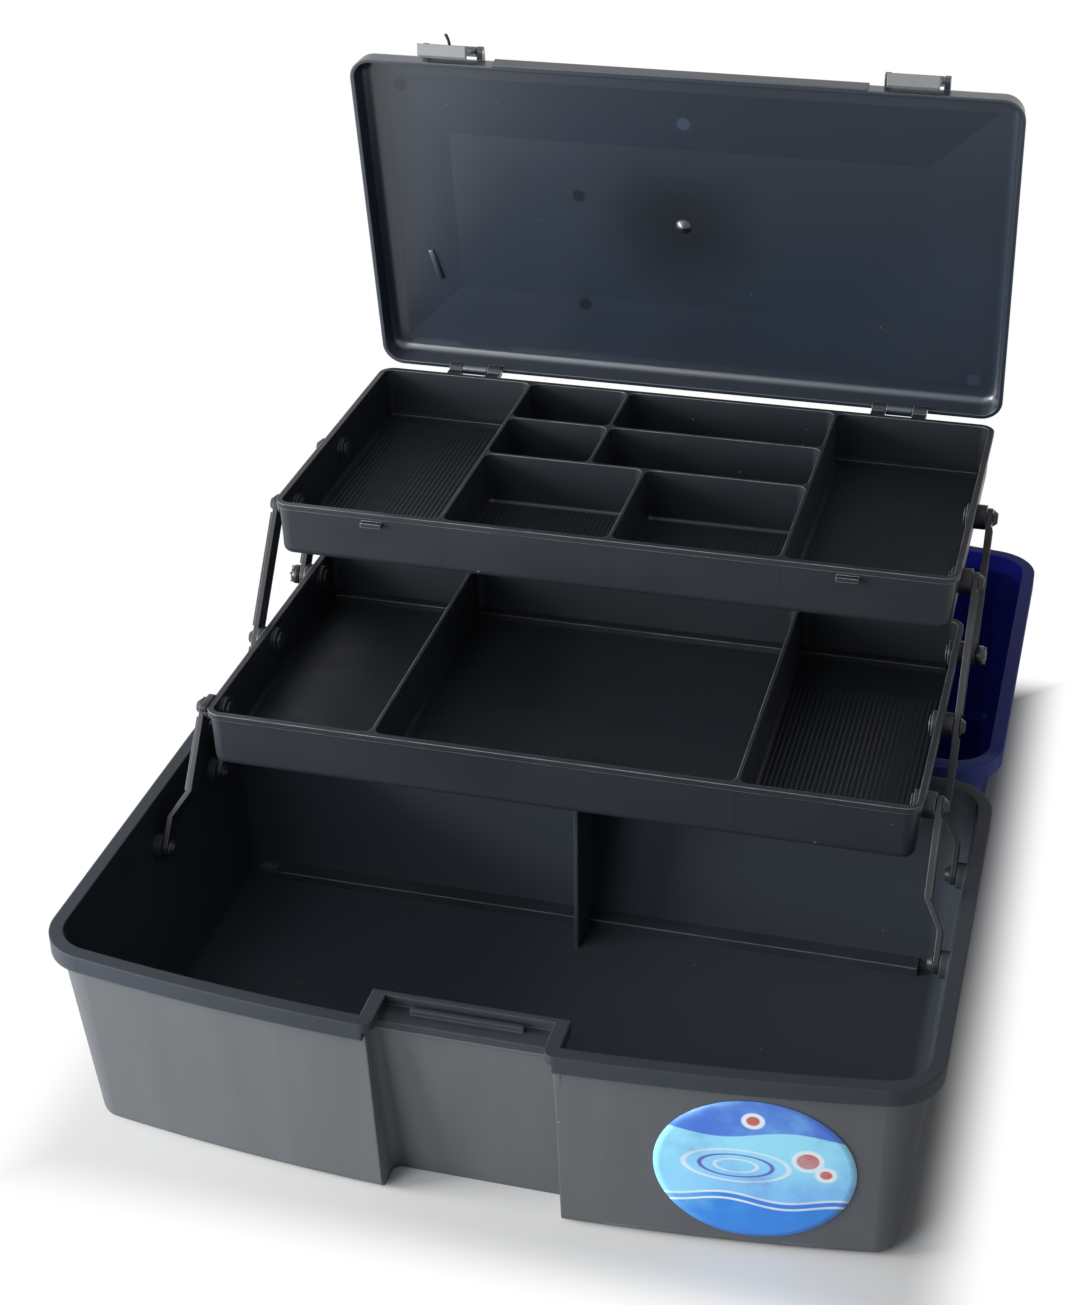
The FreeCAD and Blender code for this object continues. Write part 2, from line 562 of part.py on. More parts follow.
def base_tub():
    """Tub: the shared shell with its ledge, middle rib and pivot bosses."""
    body = shell("base_tub", True)
    shell_details(body, "base_tub", "notch_width / 2 - band_proud", "band_round",
                  end_spans("lug_station", "lug_span"))
    lip = sketch_on(body, "lip_outline", "XY_Plane", f"{LEDGE_LEVEL} - lip_height")
    rectangle(lip, "-notch_width / 2 - wall / 2", "notch_width / 2 + wall / 2",
              f"{PANEL} - lip_proud", f"{PANEL} + lip_height * notch_depth_low / {LEDGE_LEVEL}")
    pad(body, "lip", lip, "lip_height")
    ridge = sketch_on(body, "ridge_outline", "XY_Plane", LEDGE_LEVEL)
    rectangle(ridge, "-ridge_length / 2", "ridge_length / 2",
              f"{INNER_RIM} - 2 * ridge_width", f"{INNER_RIM} - ridge_width")
    pad(body, "ridge", ridge, "ridge_height")

    rib_top = f"({FOLDED_MIDDLE_FLOOR} - rest_gap)"
    wall_at_top = f"({WALL_REAR} - (shell_height - {rib_top}) * tan(draft_angle) - wall / 2)"
    low_rear = f"({WALL_REAR} - shell_height * tan(draft_angle))"
    rib = sketch_on(body, "rib_outline", "YZ_Plane", "-rib_wall / 2")
    polygon(rib, [
        (f"{low_rear} - wall - rib_length", "floor_wall / 2"),
        (f"{low_rear} - wall / 2", "floor_wall / 2"),
        (wall_at_top, rib_top),
        (f"{low_rear} - wall - rib_length", rib_top)])
    pad(body, "rib", rib, "rib_wall")

    places = [(across, "pivot_level") for across in TUB_PIVOTS]
    inner_half = f"({WALL_HALF} - (shell_height - pivot_level) * tan(draft_angle) - wall / 2)"
    bosses(body, "tub", places, TUB_BOSS_FACE, inner_half, "boss_radius", TUB_BOSS_FACE)
    return body


def lid_shell():
    """Lid: the shared shell with the recess of the handle and the ears of the front latch."""
    body = shell("lid_shell", False)
    shell_details(body, "lid_shell", "notch_width / 2", "band_round / 2",
                  middle_spans("lug_station", "lug_span"))
    well = sketch_on(body, "well_block_outline", "XY_Plane", "floor_wall / 2")
    rounded_rectangle(well, "-well_length / 2 - wall", "well_length / 2 + wall",
                      "-well_inset - well_depth - wall", "-well_inset + wall", "well_corner + wall")
    pad(body, "well_block", well, "well_drop + floor_wall / 2")
    hollow = sketch_on(body, "well_outline", "XY_Plane")
    rounded_rectangle(hollow, "-well_length / 2", "well_length / 2",
                      "-well_inset - well_depth", "-well_inset", "well_corner")
    pocket(body, "well", hollow, "well_drop", along=True)
    for side, word in ((1, "right"), (-1, "left")):
        bore = sketch_on(body, f"well_{word}_bore_outline", "YZ_Plane",
                         f"{side} * (well_length / 2 - overrun)")
        circles(bore, [HANDLE_EYE], "pin_radius + running_gap")
        pocket(body, f"well_{word}_bore", bore, "wall + 2 * overrun", along=side > 0)
    for side, word in ((1, "right"), (-1, "left")):
        start = f"{side} * (clasp_width / 2 + side_gap) - {0 if side > 0 else 1} * ear_wall"
        ear = sketch_on(body, f"clasp_{word}_ear_outline", "YZ_Plane", start)
        across, level = CLASP_AXIS
        rectangle(ear, f"{across} - clasp_barrel", f"{PANEL} + notch_depth_low / 2",
                  f"{level} - clasp_barrel", f"{level} + clasp_barrel")
        pad(body, f"clasp_{word}_ear", ear, "ear_wall")
        bore = sketch_on(body, f"clasp_{word}_bore_outline", "YZ_Plane", start)
        circles(bore, [CLASP_AXIS], "pin_radius + running_gap")
        pocket(body, f"clasp_{word}_bore", bore, "ear_wall", along=True)
    turn_open(body)
    return body


def turn_open(thing):
    """The lid and what it carries are drawn like the tub, and lie turned half round behind it."""
    thing.Placement = FreeCAD.Placement(Vector(0, 0, 0), Rotation(Vector(0, 0, 1), 180))


def link(label, side, length, pivot, eyes, joggled):
    """Flat link strip that stands on its lower pivot, its holes at the given distances."""
    body = new_body(label)
    sign = "" if side > 0 else "-"
    thickness = "link_wall + foot_offset" if joggled else "link_wall"
    face = sketch_on(body, f"{label}_outline", "YZ_Plane", f"{side} * link_plane")
    strip(face, length, "link_width / 2")
    pad(body, f"{label}_strip", face, thickness, back=side < 0)
    if joggled:
        inner, outer = f"{sign}link_plane", f"{sign}(link_plane + link_wall)"
        foot_inner = f"{sign}(link_plane + foot_offset)"
        foot_outer = f"{sign}(link_plane + foot_offset + link_wall)"
        bend = "(foot_length + joggle_length)"
        sides = sketch_on(body, f"{label}_joggle_outline", "XY_Plane", "link_width")
        polygon(sides, [
            (outer, bend), (outer, f"{length} + link_width"),
            (f"{sign}(link_plane + foot_offset + link_wall + overrun)", f"{length} + link_width"),
            (f"{sign}(link_plane + foot_offset + link_wall + overrun)", "foot_length"),
            (foot_outer, "foot_length")])
        polygon(sides, [
            (inner, bend), (f"{sign}(link_plane - overrun)", bend),
            (f"{sign}(link_plane - overrun)", "-link_width"), (foot_inner, "-link_width"),
            (foot_inner, "foot_length")])
        pocket(body, f"{label}_joggle", sides, "2 * link_width")
    holes = sketch_on(body, f"{label}_eye_outline", "YZ_Plane", f"{side} * (link_plane - overrun)")
    circles(holes, [(eye, "0") for eye in eyes], "pin_radius + running_gap")
    pocket(body, f"{label}_eyes", holes, "foot_offset + link_wall + 2 * overrun", along=side > 0)
    across, level = pivot
    body.Placement = FreeCAD.Placement(Vector(0, 0, 0), Rotation(Vector(1, 0, 0), 1))
    body.setExpression("Placement.Base.y", bound(across))
    body.setExpression("Placement.Base.z", bound(level))
    body.setExpression("Placement.Rotation.Angle", bound("link_angle"))
    return body


def tray(label, front, rim, bays, first_pivot, pivot_count, rim_rise):
    """Open tray with its compartments and pivot bosses, drawn from its front bottom edge."""
    body = new_body(label)
    outline = sketch_on(body, f"{label}_outline", "XY_Plane", "tray_height")
    rounded_rectangle(outline, "-tray_width / 2 + lip_wall", "tray_width / 2 - lip_wall",
                      "lip_wall", "tray_depth - lip_wall", "tray_corner")
    pad(body, f"{label}_outer", outline, "tray_height", back=True, draft="tray_draft")
    round_edges(body, f"{label}_bottom_round", "tray_round", lambda spot: near(spot.z, "0"))
    rim_band = sketch_on(body, f"{label}_lip_outline", "XY_Plane", "tray_height - lip_band")
    rounded_rectangle(rim_band, "-tray_width / 2", "tray_width / 2", "0", "tray_depth",
                      "tray_corner + lip_wall")
    pad(body, f"{label}_lip", rim_band, "lip_band")
    hollows = sketch_on(body, f"{label}_bay_outlines", "XY_Plane", "tray_height")
    for bay in bays:
        rounded_rectangle(hollows, *bay, "bay_corner")
    pocket(body, f"{label}_bays", hollows, "tray_height - tray_floor", draft="tray_draft")
    round_edges(body, f"{label}_bay_round", "bay_round", lambda spot: near(spot.z, "tray_floor"))
    places = [(f"{first_pivot} + {index} * pivot_spacing", f"tray_height - {rim_rise}")
              for index in range(pivot_count)]
    bosses(body, label, places, BOSS_ROOT, BOSS_FACE, "boss_radius", BOSS_ROOT)
    body.setExpression("Placement.Base.y", bound(front))
    body.setExpression("Placement.Base.z", bound(f"{rim} - tray_height"))
    return body


def middle_tray():
    """Middle tray: three compartments side by side."""
    walls = ["(-middle_divider_share * tray_width)", "(middle_divider_share * tray_width)"]
    return tray("middle_tray", MIDDLE_FRONT, MIDDLE_RIM, columns(walls), "middle_overhang", 3,
                "middle_rim_rise")


def columns(walls, front=None, rear=None, left=None, right=None):
    """Compartments in a row between dividers that stand at the given places along X."""
    limit = "(tray_width / 2 - lip_wall - tray_wall)"
    front = front or "(lip_wall + tray_wall)"
    rear = rear or "(tray_depth - lip_wall - tray_wall)"
    starts = [left or f"(-{limit})"] + [f"({wall} + divider_wall / 2)" for wall in walls]
    ends = [f"({wall} - divider_wall / 2)" for wall in walls] + [right or limit]
    return [(start, end, front, rear) for start, end in zip(starts, ends)]


def top_tray():
    """Top tray: a long compartment at each end and six small ones between, two by two."""
    left, right = "(-left_divider_share * tray_width)", "(right_divider_share * tray_width)"
    rear_wall, front_wall = "(-rear_split_share * tray_width)", "(front_split_share * tray_width)"
    first, second = "(front_cross_share * tray_depth)", "(rear_cross_share * tray_depth)"
    inner = {"left": f"({left} + divider_wall / 2)", "right": f"({right} - divider_wall / 2)"}
    ends = columns([left, right])
    bays = [ends[0], ends[2]]
    bays += columns([front_wall], rear=f"({first} - divider_wall / 2)", **inner)
    bays += columns([rear_wall], front=f"({first} + divider_wall / 2)",
                    rear=f"({second} - divider_wall / 2)", **inner)
    bays += columns([rear_wall], front=f"({second} + divider_wall / 2)", **inner)
    body = tray("top_tray", TOP_FRONT, TOP_RIM, bays, "top_overhang", 2, "top_rim_rise")
    catches = sketch_on(body, "catch_outlines", "XY_Plane", "tray_height - catch_drop - catch_wall / 2")
    for side in (-1, 1):
        rectangle(catches, f"{side} * hinge_station - catch_width / 2",
                  f"{side} * hinge_station + catch_width / 2", "-catch_proud", "lip_wall + tray_wall")
    pad(body, "catches", catches, "catch_wall")
    knuckles(body, "tray_hinge", ("(tray_depth + cover_setback)", "tray_height"), "knuckle_radius",
             "fine_pin", ("(tray_depth - lip_wall)", "(tray_height - knuckle_radius)", "tray_height"),
             end_spans("hinge_station", "hinge_span"))
    return body


def turned_back(spot, angle):
    """Place across and up from the hinge axis of the cover, turned back round that axis."""
    across, level = spot
    return (f"({across} * cos({angle}) + {level} * sin({angle}))",
            f"({level} * cos({angle}) - {across} * sin({angle}))")


def on_cover(thing, swing=None):
    """The cover and its latches are drawn closed, from the hinge axis, and stand open; a swing is that
    of a latch round its pin."""
    thing.Placement = FreeCAD.Placement(Vector(0, 0, 0), Rotation(Vector(1, 0, 0), 1))
    across, level, angle = COVER_AXIS, TOP_RIM, "cover_open_angle"
    if swing:
        pin_across, pin_level = turned_back(LATCH_AXIS, angle)
        angle = f"({angle} + {swing})"
        swung_across, swung_level = turned_back(LATCH_AXIS, angle)
        across = f"({across} + {pin_across} - {swung_across})"
        level = f"({level} + {pin_level} - {swung_level})"
    thing.setExpression("Placement.Base.y", bound(across))
    thing.setExpression("Placement.Base.z", bound(level))
    thing.setExpression("Placement.Rotation.Angle", bound(f"-{angle}"))


def tray_cover():
    """Cover of the top tray: a shallow shell with a raised field, a band and ears for latches."""
    body = new_body("tray_cover")
    half = "(cover_width / 2)"
    outline = sketch_on(body, "cover_outline", "XY_Plane", "cover_gap")
    rounded_rectangle(outline, f"-{half}", half, "-cover_reach", "cover_rear_reach", "cover_corner")
    pad(body, "cover_outer", outline, "cover_depth", draft="cover_draft")
    panel = "(cover_gap + cover_depth)"
    round_edges(body, "cover_panel_round", "cover_round", lambda spot: near(spot.z, panel))
    inside = sketch_on(body, "cover_inside_outline", "XY_Plane", "cover_gap")
    rounded_rectangle(inside, f"-{half} + cover_wall", f"{half} - cover_wall", "-cover_reach + cover_wall",
                      "cover_rear_reach - cover_wall", "cover_corner - cover_wall")
    pocket(body, "cover_inside", inside, "cover_depth - cover_wall", along=True, draft="cover_draft")
    ceiling = "(cover_gap + cover_depth - cover_wall)"
    round_edges(body, "cover_ceiling_round", "cover_round - cover_wall", lambda spot: near(spot.z, ceiling))
    middle = "(cover_rear_reach / 2 - cover_reach / 2)"
    for name, level, cut in (("field", panel, False), ("field_inside", ceiling, True)):
        low = sketch_on(body, f"{name}_foot", "XY_Plane", level)
        rectangle(low, "-field_width / 2", "field_width / 2",
                  f"{middle} - field_depth / 2", f"{middle} + field_depth / 2")
        high = sketch_on(body, f"{name}_top", "XY_Plane", f"{level} + field_rise")
        rectangle(high, "-field_width / 2 + field_bevel", "field_width / 2 - field_bevel",
                  f"{middle} - field_depth / 2 + field_bevel", f"{middle} + field_depth / 2 - field_bevel")
        loft(body, name, low, high, cut)
    band = sketch_on(body, "edge_band_outline", "XY_Plane", "cover_gap")
    rectangle(band, "-edge_band_length / 2", "edge_band_length / 2",
              "-cover_reach - edge_band_wall", "-cover_reach + cover_wall / 2")
    pad(body, "edge_band", band, "edge_band_height")
    across, level = LATCH_AXIS
    for index, (station, side) in enumerate(((s, e) for s in (-1, 1) for e in (-1, 1)), start=1):
        start = (f"{station} * hinge_station + {side} * (latch_width / 2 + side_gap)"
                 f" - {0 if side > 0 else 1} * ear_wall")
        ear = sketch_on(body, f"latch_ear_outline_{index}", "YZ_Plane", start)
        polygon(ear, [
            ("-cover_reach + 2 * cover_wall", f"{level} - barrel_radius"),
            ("-cover_reach + 2 * cover_wall", f"{level} + barrel_radius"),
            (f"{across} - barrel_radius / 2", f"{level} + barrel_radius"),
            (f"{across} - barrel_radius", f"{level} + barrel_radius / 2"),
            (f"{across} - barrel_radius", f"{level} - barrel_radius / 2"),
            (f"{across} - barrel_radius / 2", f"{level} - barrel_radius")])
        pad(body, f"latch_ear_{index}", ear, "ear_wall")
        bore = sketch_on(body, f"latch_bore_outline_{index}", "YZ_Plane", start)
        circles(bore, [LATCH_AXIS], "fine_pin + running_gap")
        pocket(body, f"latch_bore_{index}", bore, "ear_wall", along=True)
    for side, word in ((1, "right"), (-1, "left")):
        relief = sketch_on(body, f"hinge_relief_outline_{word}", "YZ_Plane",
                           f"{side} * hinge_station - hinge_span / 2 - side_gap")
        circles(relief, [("0", "0")], "knuckle_radius + side_gap")
        pocket(body, f"hinge_relief_{word}", relief, "hinge_span + 2 * side_gap", along=True)
    knuckles(body, "cover_hinge", ("0", "0"), "knuckle_radius", "fine_pin",
             ("(cover_rear_reach - cover_wall)", "0", "(knuckle_radius + side_gap + cover_wall)"),
             middle_spans("hinge_station", "hinge_span"))
    on_cover(body)
    return body


def hooked_latch(label, middle, width, axis, wall, radius, pin, nose_start, nose, sign):
    """Latch plate with a barrel round its pin and a hook; the plate runs from the pin along Z."""
    body = new_body(label)
    across, level = axis
    left = f"{middle} - {width} / 2"
    inner, outer = f"{across} + {wall} / 2", f"{across} - {wall} / 2"
    tip = f"{nose_start} + {sign} * {nose}"
    plate = sketch_on(body, f"{label}_plate_outline", "YZ_Plane", left)
    polygon(plate, [
        (inner, level), (inner, nose_start), (f"{inner} + {nose}", nose_start),
        (f"{inner} + {nose} / 2", tip), (f"{outer} - {nose}", f"{tip} + {sign} * {nose} / 2"),
        (outer, f"{nose_start} - {sign} * {nose}"), (outer, level)])
    pad(body, f"{label}_plate", plate, width)
    ring = sketch_on(body, f"{label}_barrel_outline", "YZ_Plane", left)
    circles(ring, [axis], radius)
    pad(body, f"{label}_barrel", ring, width)
    bore = sketch_on(body, f"{label}_bore_outline", "YZ_Plane", left)
    circles(bore, [axis], f"{pin} + running_gap")
    pocket(body, f"{label}_bore", bore, width, along=True)
    return body


def handle():
    """Carrying handle: two arms and a grip, folded into the recess of the lid."""
    body = new_body("handle")
    level = "((well_drop - handle_wall) / 2)"
    back = f"({HANDLE_EYE[0]} + handle_wall / 2)"
    outline = sketch_on(body, "handle_outline", "XY_Plane", level)
    rounded_rectangle(outline, "-handle_length / 2", "handle_length / 2", f"{back} - handle_reach", back,
                      "handle_bar / 2")
    pad(body, "handle_block", outline, "handle_wall")
    window = sketch_on(body, "handle_window_outline", "XY_Plane", f"{level} + handle_wall")
    rounded_rectangle(window, "-handle_length / 2 + handle_bar", "handle_length / 2 - handle_bar",
                      f"{back} - handle_reach + handle_bar", f"{back} + handle_bar", "handle_bar / 2")
    pocket(body, "handle_window", window, "handle_wall")
    top = f"({level} + handle_wall)"
    round_edges(body, "handle_edges", "handle_round",
                lambda spot: near(spot.z, level) or near(spot.z, top))
    for side, word in ((1, "right"), (-1, "left")):
        bore = sketch_on(body, f"handle_{word}_bore_outline", "YZ_Plane",
                         f"{side} * (handle_length / 2 + overrun)")
        circles(bore, [HANDLE_EYE], "pin_radius + running_gap")
        pocket(body, f"handle_{word}_bore", bore, "handle_bar + 2 * overrun", along=side < 0)
    turn_open(body)
    return body


def rod(name, side, start, across, level, length, radius, tip=None):
    """Round bar along X from a start outward on one side; a tip radius makes it a cone."""
    kind = "Cone" if tip else "Cylinder"
    bar = doc.addObject(f"Part::{kind}", name)
    if tip:
        bar.setExpression("Radius1", bound(radius))
        bar.setExpression("Radius2", bound(tip))
    else:
        bar.setExpression("Radius", bound(radius))
    bar.setExpression("Height", bound(length))
    bar.Placement = FreeCAD.Placement(Vector(0, 0, 0), Rotation(Vector(0, 1, 0), 90 * side))
    bar.setExpression("Placement.Base.x", bound(f"{side} * ({start})"))
    bar.setExpression("Placement.Base.y", bound(across))
    bar.setExpression("Placement.Base.z", bound(level))
    return bar


def fused(name, pieces):
    joined = doc.addObject("Part::MultiFuse", name)
    joined.Shapes = pieces
    return joined


def group(label, members):
    """Like fasteners kept as separate solids under one name."""
    kept = doc.addObject("Part::Compound", label)
    kept.Label = label
    kept.Links = members
    return kept


def pivot_pins(label, places, shank_start, shank_end, head_start, outward):
    """Pins of the link pivots on both sides, each with a bevelled head."""
    pins = []
    for side, word in ((1, "right"), (-1, "left")):
        for index, (across, level) in enumerate(places, start=1):
            name = f"{label}_{word}_{index}"
            shank = rod(f"{name}_shank", side, shank_start, across, level,
                        f"{shank_end} - {shank_start}", "pin_radius")
            if outward:
                head = rod(f"{name}_head", side, head_start, across, level, "head_height",
                           "pin_head", "pin_head * head_share")
            else:
                head = rod(f"{name}_head", side, f"{head_start} - head_height", across, level,
                           "head_height", "pin_head * head_share", "pin_head")
            pins.append(fused(name, [shank, head]))
    return group(label, pins)


def retainers(label, places):
    """Rings that hold the tray pins on the inner faces of the bosses."""
    rings = []
    for side, word in ((1, "right"), (-1, "left")):
        for index, (across, level) in enumerate(places, start=1):
            name = f"{label}_{word}_{index}"
            disc = rod(f"{name}_disc", side, f"{BOSS_ROOT} - ring_wall - rim_gap", across, level,
                       "ring_wall", "ring_radius")
            bore = rod(f"{name}_bore", side, f"{BOSS_ROOT} - ring_wall - rim_gap - overrun", across, level,
                       "ring_wall + 2 * overrun", "pin_radius + running_gap")
            ring = doc.addObject("Part::Cut", name)
            ring.Base = disc
            ring.Tool = bore
            rings.append(ring)
    return group(label, rings)


def straight_pins(label, centres, length, across, level, radius):
    """Plain pins along X, each centred at a place along X."""
    pins = [rod(f"{label}_{index}", 1, f"{centre} - ({length}) / 2", across, level, length, radius)
            for index, centre in enumerate(centres, start=1)]
    return group(label, pins)


def build():
    """All sub-parts, in the order in which they are put together."""
    middle_places = [(f"{MIDDLE_FRONT} + middle_overhang + {index} * pivot_spacing",
                      f"pivot_level + {RISE}") for index in range(3)]
    top_places = [(f"{TOP_FRONT} + top_overhang + {index} * pivot_spacing",
                   f"pivot_level + 2 * {RISE}") for index in range(2)]
    tub_places = [(across, "pivot_level") for across in TUB_PIVOTS]
    parts = [base_tub(), lid_shell(), middle_tray(), top_tray(), tray_cover(), handle()]
    for side, word in ((1, "right"), (-1, "left")):
        parts.append(link(f"lower_link_{word}", side, "link_length", tub_places[0],
                          ["0", "link_length"], True))
        parts.append(link(f"long_link_{word}", side, "2 * link_length", tub_places[1],
                          ["0", "link_length", "2 * link_length"], True))
        parts.append(link(f"upper_link_{word}", side, "link_length", middle_places[2],
                          ["0", "link_length"], False))
    latch_nose_start = "(-catch_drop - catch_wall / 2 - side_gap)"
    for side, word in ((1, "right"), (-1, "left")):
        latch = hooked_latch(f"cover_latch_{word}", f"{side} * hinge_station", "latch_width", LATCH_AXIS,
                             "latch_wall", "barrel_radius", "fine_pin", latch_nose_start, "latch_nose", -1)
        on_cover(latch, "latch_open_angle")
        parts.append(latch)
    clasp_nose_start = f"({HINGE_LEVEL} + rim_gap + ledge_drop + lip_height + side_gap)"
    clasp = hooked_latch("lid_latch", "0", "clasp_width", CLASP_AXIS, "clasp_wall", "clasp_barrel",
                         "pin_radius", clasp_nose_start, "clasp_nose", 1)
    turn_open(clasp)
    parts.append(clasp)

    foot_inner = "(link_plane + foot_offset)"
    bore_end = (f"({WALL_HALF} - (shell_height - pivot_level) * tan(draft_angle) - wall / 2"
                " - running_gap)")
    parts.append(pivot_pins("base_pivot_pins", tub_places, f"({foot_inner} - side_gap)", bore_end,
                            f"({foot_inner} - side_gap)", False))
    pin_root = f"({BOSS_ROOT} - ring_wall - 2 * rim_gap)"
    head_seat = "(link_plane + link_wall + side_gap)"
    parts.append(pivot_pins("middle_pivot_pins", middle_places, pin_root, head_seat, head_seat, True))
    parts.append(pivot_pins("top_pivot_pins", top_places, pin_root, head_seat, head_seat, True))
    parts.append(retainers("middle_pin_retainers", middle_places))
    parts.append(retainers("top_pin_retainers", top_places))
    parts.append(straight_pins("lid_hinge_pins", ["-lug_station", "lug_station"], "lug_span",
                               "0", HINGE_LEVEL, "lug_pin"))
    parts.append(straight_pins("cover_hinge_pins", ["-hinge_station", "hinge_station"], "hinge_span",
                               COVER_AXIS, TOP_RIM, "fine_pin"))
    pin_across, pin_level = turned_back(LATCH_AXIS, "cover_open_angle")
    parts.append(straight_pins(
        "cover_latch_pins", ["-hinge_station", "hinge_station"],
        "(latch_width + 2 * side_gap + 2 * ear_wall)",
        f"{COVER_AXIS} + {pin_across}", f"{TOP_RIM} + {pin_level}", "fine_pin"))
    parts.append(straight_pins("lid_latch_pin", ["0"], "(clasp_width + 2 * side_gap + 2 * ear_wall)",
                               f"-{CLASP_AXIS[0]}", CLASP_AXIS[1], "pin_radius"))
    pin_run = "(handle_bar + wall + (well_length - handle_length) / 2)"
    parts.append(straight_pins(
        "handle_pins", [f"({side} * (well_length / 2 + wall - {pin_run} / 2))" for side in (-1, 1)],
        pin_run, f"-{HANDLE_EYE[0]}", HANDLE_EYE[1], "pin_radius"))
    return parts


def save(parts):
    """Checks every object, then writes one file for each sub-part."""
    doc.recompute()
    for thing in doc.Objects:
        if any(state in ("Invalid", "Error") for state in thing.State):
            raise ValueError(f"{thing.Label} failed: {thing.State}")
    for thing in parts:
        if thing.Shape.isNull() or not thing.Shape.isValid():
            raise ValueError(f"{thing.Label} has no valid shape")
    os.makedirs("parts", exist_ok=True)
    for thing in parts:
        thing.Shape.exportStep(f"parts/{thing.Label}.step")
        print(f"{thing.Label}: {len(thing.Shape.Solids)} solids, {thing.Shape.Volume / 1000:.2f} cm3")


save(build())
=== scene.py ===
import json
import math

import bmesh
import bpy
from mathutils import Matrix, Vector


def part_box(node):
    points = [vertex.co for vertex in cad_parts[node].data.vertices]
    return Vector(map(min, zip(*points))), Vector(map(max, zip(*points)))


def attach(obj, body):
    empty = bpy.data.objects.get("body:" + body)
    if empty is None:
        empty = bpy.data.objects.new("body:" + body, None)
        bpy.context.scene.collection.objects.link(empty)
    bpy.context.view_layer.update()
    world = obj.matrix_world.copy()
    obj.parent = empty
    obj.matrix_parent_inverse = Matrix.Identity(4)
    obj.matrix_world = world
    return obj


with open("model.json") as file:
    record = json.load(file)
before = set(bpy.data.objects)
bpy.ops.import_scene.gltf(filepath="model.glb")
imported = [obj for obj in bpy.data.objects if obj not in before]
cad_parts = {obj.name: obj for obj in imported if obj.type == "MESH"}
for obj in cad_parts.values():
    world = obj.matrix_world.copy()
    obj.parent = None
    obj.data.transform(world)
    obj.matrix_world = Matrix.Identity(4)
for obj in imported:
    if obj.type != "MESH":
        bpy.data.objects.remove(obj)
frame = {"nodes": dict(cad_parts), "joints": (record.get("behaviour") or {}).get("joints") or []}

bl_info = {
    "name": "Tackle Box",
    "version": (1, 0, 0),
    "blender": (4, 5, 0),
    "location": "View3D > Sidebar > Tackle Box",
    "description": "Finishes and small mouldings of an open tackle box, and the studio round it",
    "category": "Object",
}

MM = 0.001
SIDES = (("right", 1), ("left", -1))

# Pivots and link angle of the open box.
JOINTS = {joint["name"]: joint for joint in frame["joints"]}
LOW_PIVOT = Vector(JOINTS["tray_fold"]["pos_m"])
FRONT_PIVOT = Vector(JOINTS["lower_link_swing"]["pos_m"])
MIDDLE_PIVOT = Vector(JOINTS["middle_tray_pivot"]["pos_m"])
REAR_PIVOT = Vector(JOINTS["upper_link_swing"]["pos_m"])
TOP_PIVOT = Vector(JOINTS["top_tray_pivot"]["pos_m"])
LATCH_AXIS = Vector(JOINTS["cover_latch_left_swing"]["pos_m"])
LINK_ANGLE = math.atan2(TOP_PIVOT.z - LOW_PIVOT.z, TOP_PIVOT.y - LOW_PIVOT.y)

# The shell that the tub and the lid share, drawn rim up with its rear at the hinge.
HALF_WIDTH = 199 * MM
RIM = 107.75 * MM
REAR_WALL = -9.5 * MM
FRONT_WALL = -254 * MM
WALL = 2.6 * MM
BAND = 9 * MM
BOW = 1150 * MM
LEAN = math.tan(math.radians(5.6))
CORNER = 21 * MM

# Recess in the tub's front: half its width, its panel's place and lean, and the height of its ledge.
NOTCH_HALF = 42 * MM
PANEL = -245 * MM
PANEL_LEAN = 0.1893
LEDGE = 103 * MM

# Links: the plane of their outer faces, half their width, and where they run straight past the joggle.
LINK_FACE = 182.6 * MM
LINK_HALF = 5 * MM
LINK_STRAIGHT = 29 * MM
PIN_HEAD_FACE = 185.4 * MM

# Trays, in millimetres from the middle and from the front of each tray: its dividers, its rear wall, the
# steps along that wall, and its ridged floors, each with left, right, front, rear and how strongly it shows.
TRAY_FLOOR = 2 * MM
TRAYS = {
    "middle_tray": {
        "dividers": (-89, 89),
        "rear_wall": 176.6,
        "steps": ((-168, -91.4), (-86.9, 86.9), (91.4, 168)),
        "ridges": ((-170, -90, 6, 174, 0.05), (-88, 88, 6, 174, 0.08), (92, 170, 14, 144, 1.0)),
    },
    "top_tray": {
        "dividers": (-85.5, 2, 88.5),
        "rear_wall": 178,
        "steps": ((-168, -87.6), (90.6, 168)),
        "ridges": ((-168, -88, 8, 162, 1.0), (-84, 0, 8, 174, 0.45), (4, 86, 8, 174, 0.3),
                   (92, 168, 8, 174, 0.12)),
    },
}

# Step inside the tub, in two halves with a gap between them: its section, its place and its halves.
TUB_STEP_DEPTH = 11 * MM
TUB_STEP_HEIGHT = 6 * MM
TUB_STEP_LEVEL = 5 * MM
TUB_STEP_GAP = 3.7 * MM
TUB_STEP_HALVES = ((-174 * MM, -1.6 * MM), (1.6 * MM, 174 * MM))

# Inside of the cover, placed as if the cover were shut and its hinge axis were the origin.
COVER_AXIS = Vector(JOINTS["cover_hinge"]["pos_m"])
COVER_ANGLE = math.radians(JOINTS["cover_hinge"]["range_deg"][1])
COVER_PLACE = Matrix.Translation(COVER_AXIS) @ Matrix.Rotation(-COVER_ANGLE, 4, "X")
COVER_FIELD = 13.7 * MM
GATE = COVER_PLACE @ Vector((-1 * MM, -96 * MM, 13 * MM))
NUB_PLACE = (-0.8 * MM, -96.3 * MM, COVER_FIELD)
NUB_PROFILE = ((0, -0.6), (4.6, -0.6), (4.4, 0.2), (3.2, 1.0), (2.0, 1.9), (1.1, 2.5), (0, 2.7))
RIB_SIZE = (3.2 * MM, 19 * MM, 1.6 * MM)
RIB_PLACE = (-144 * MM, -60 * MM, COVER_FIELD - 1.0 * MM)
RIB_TURN = math.radians(-15)

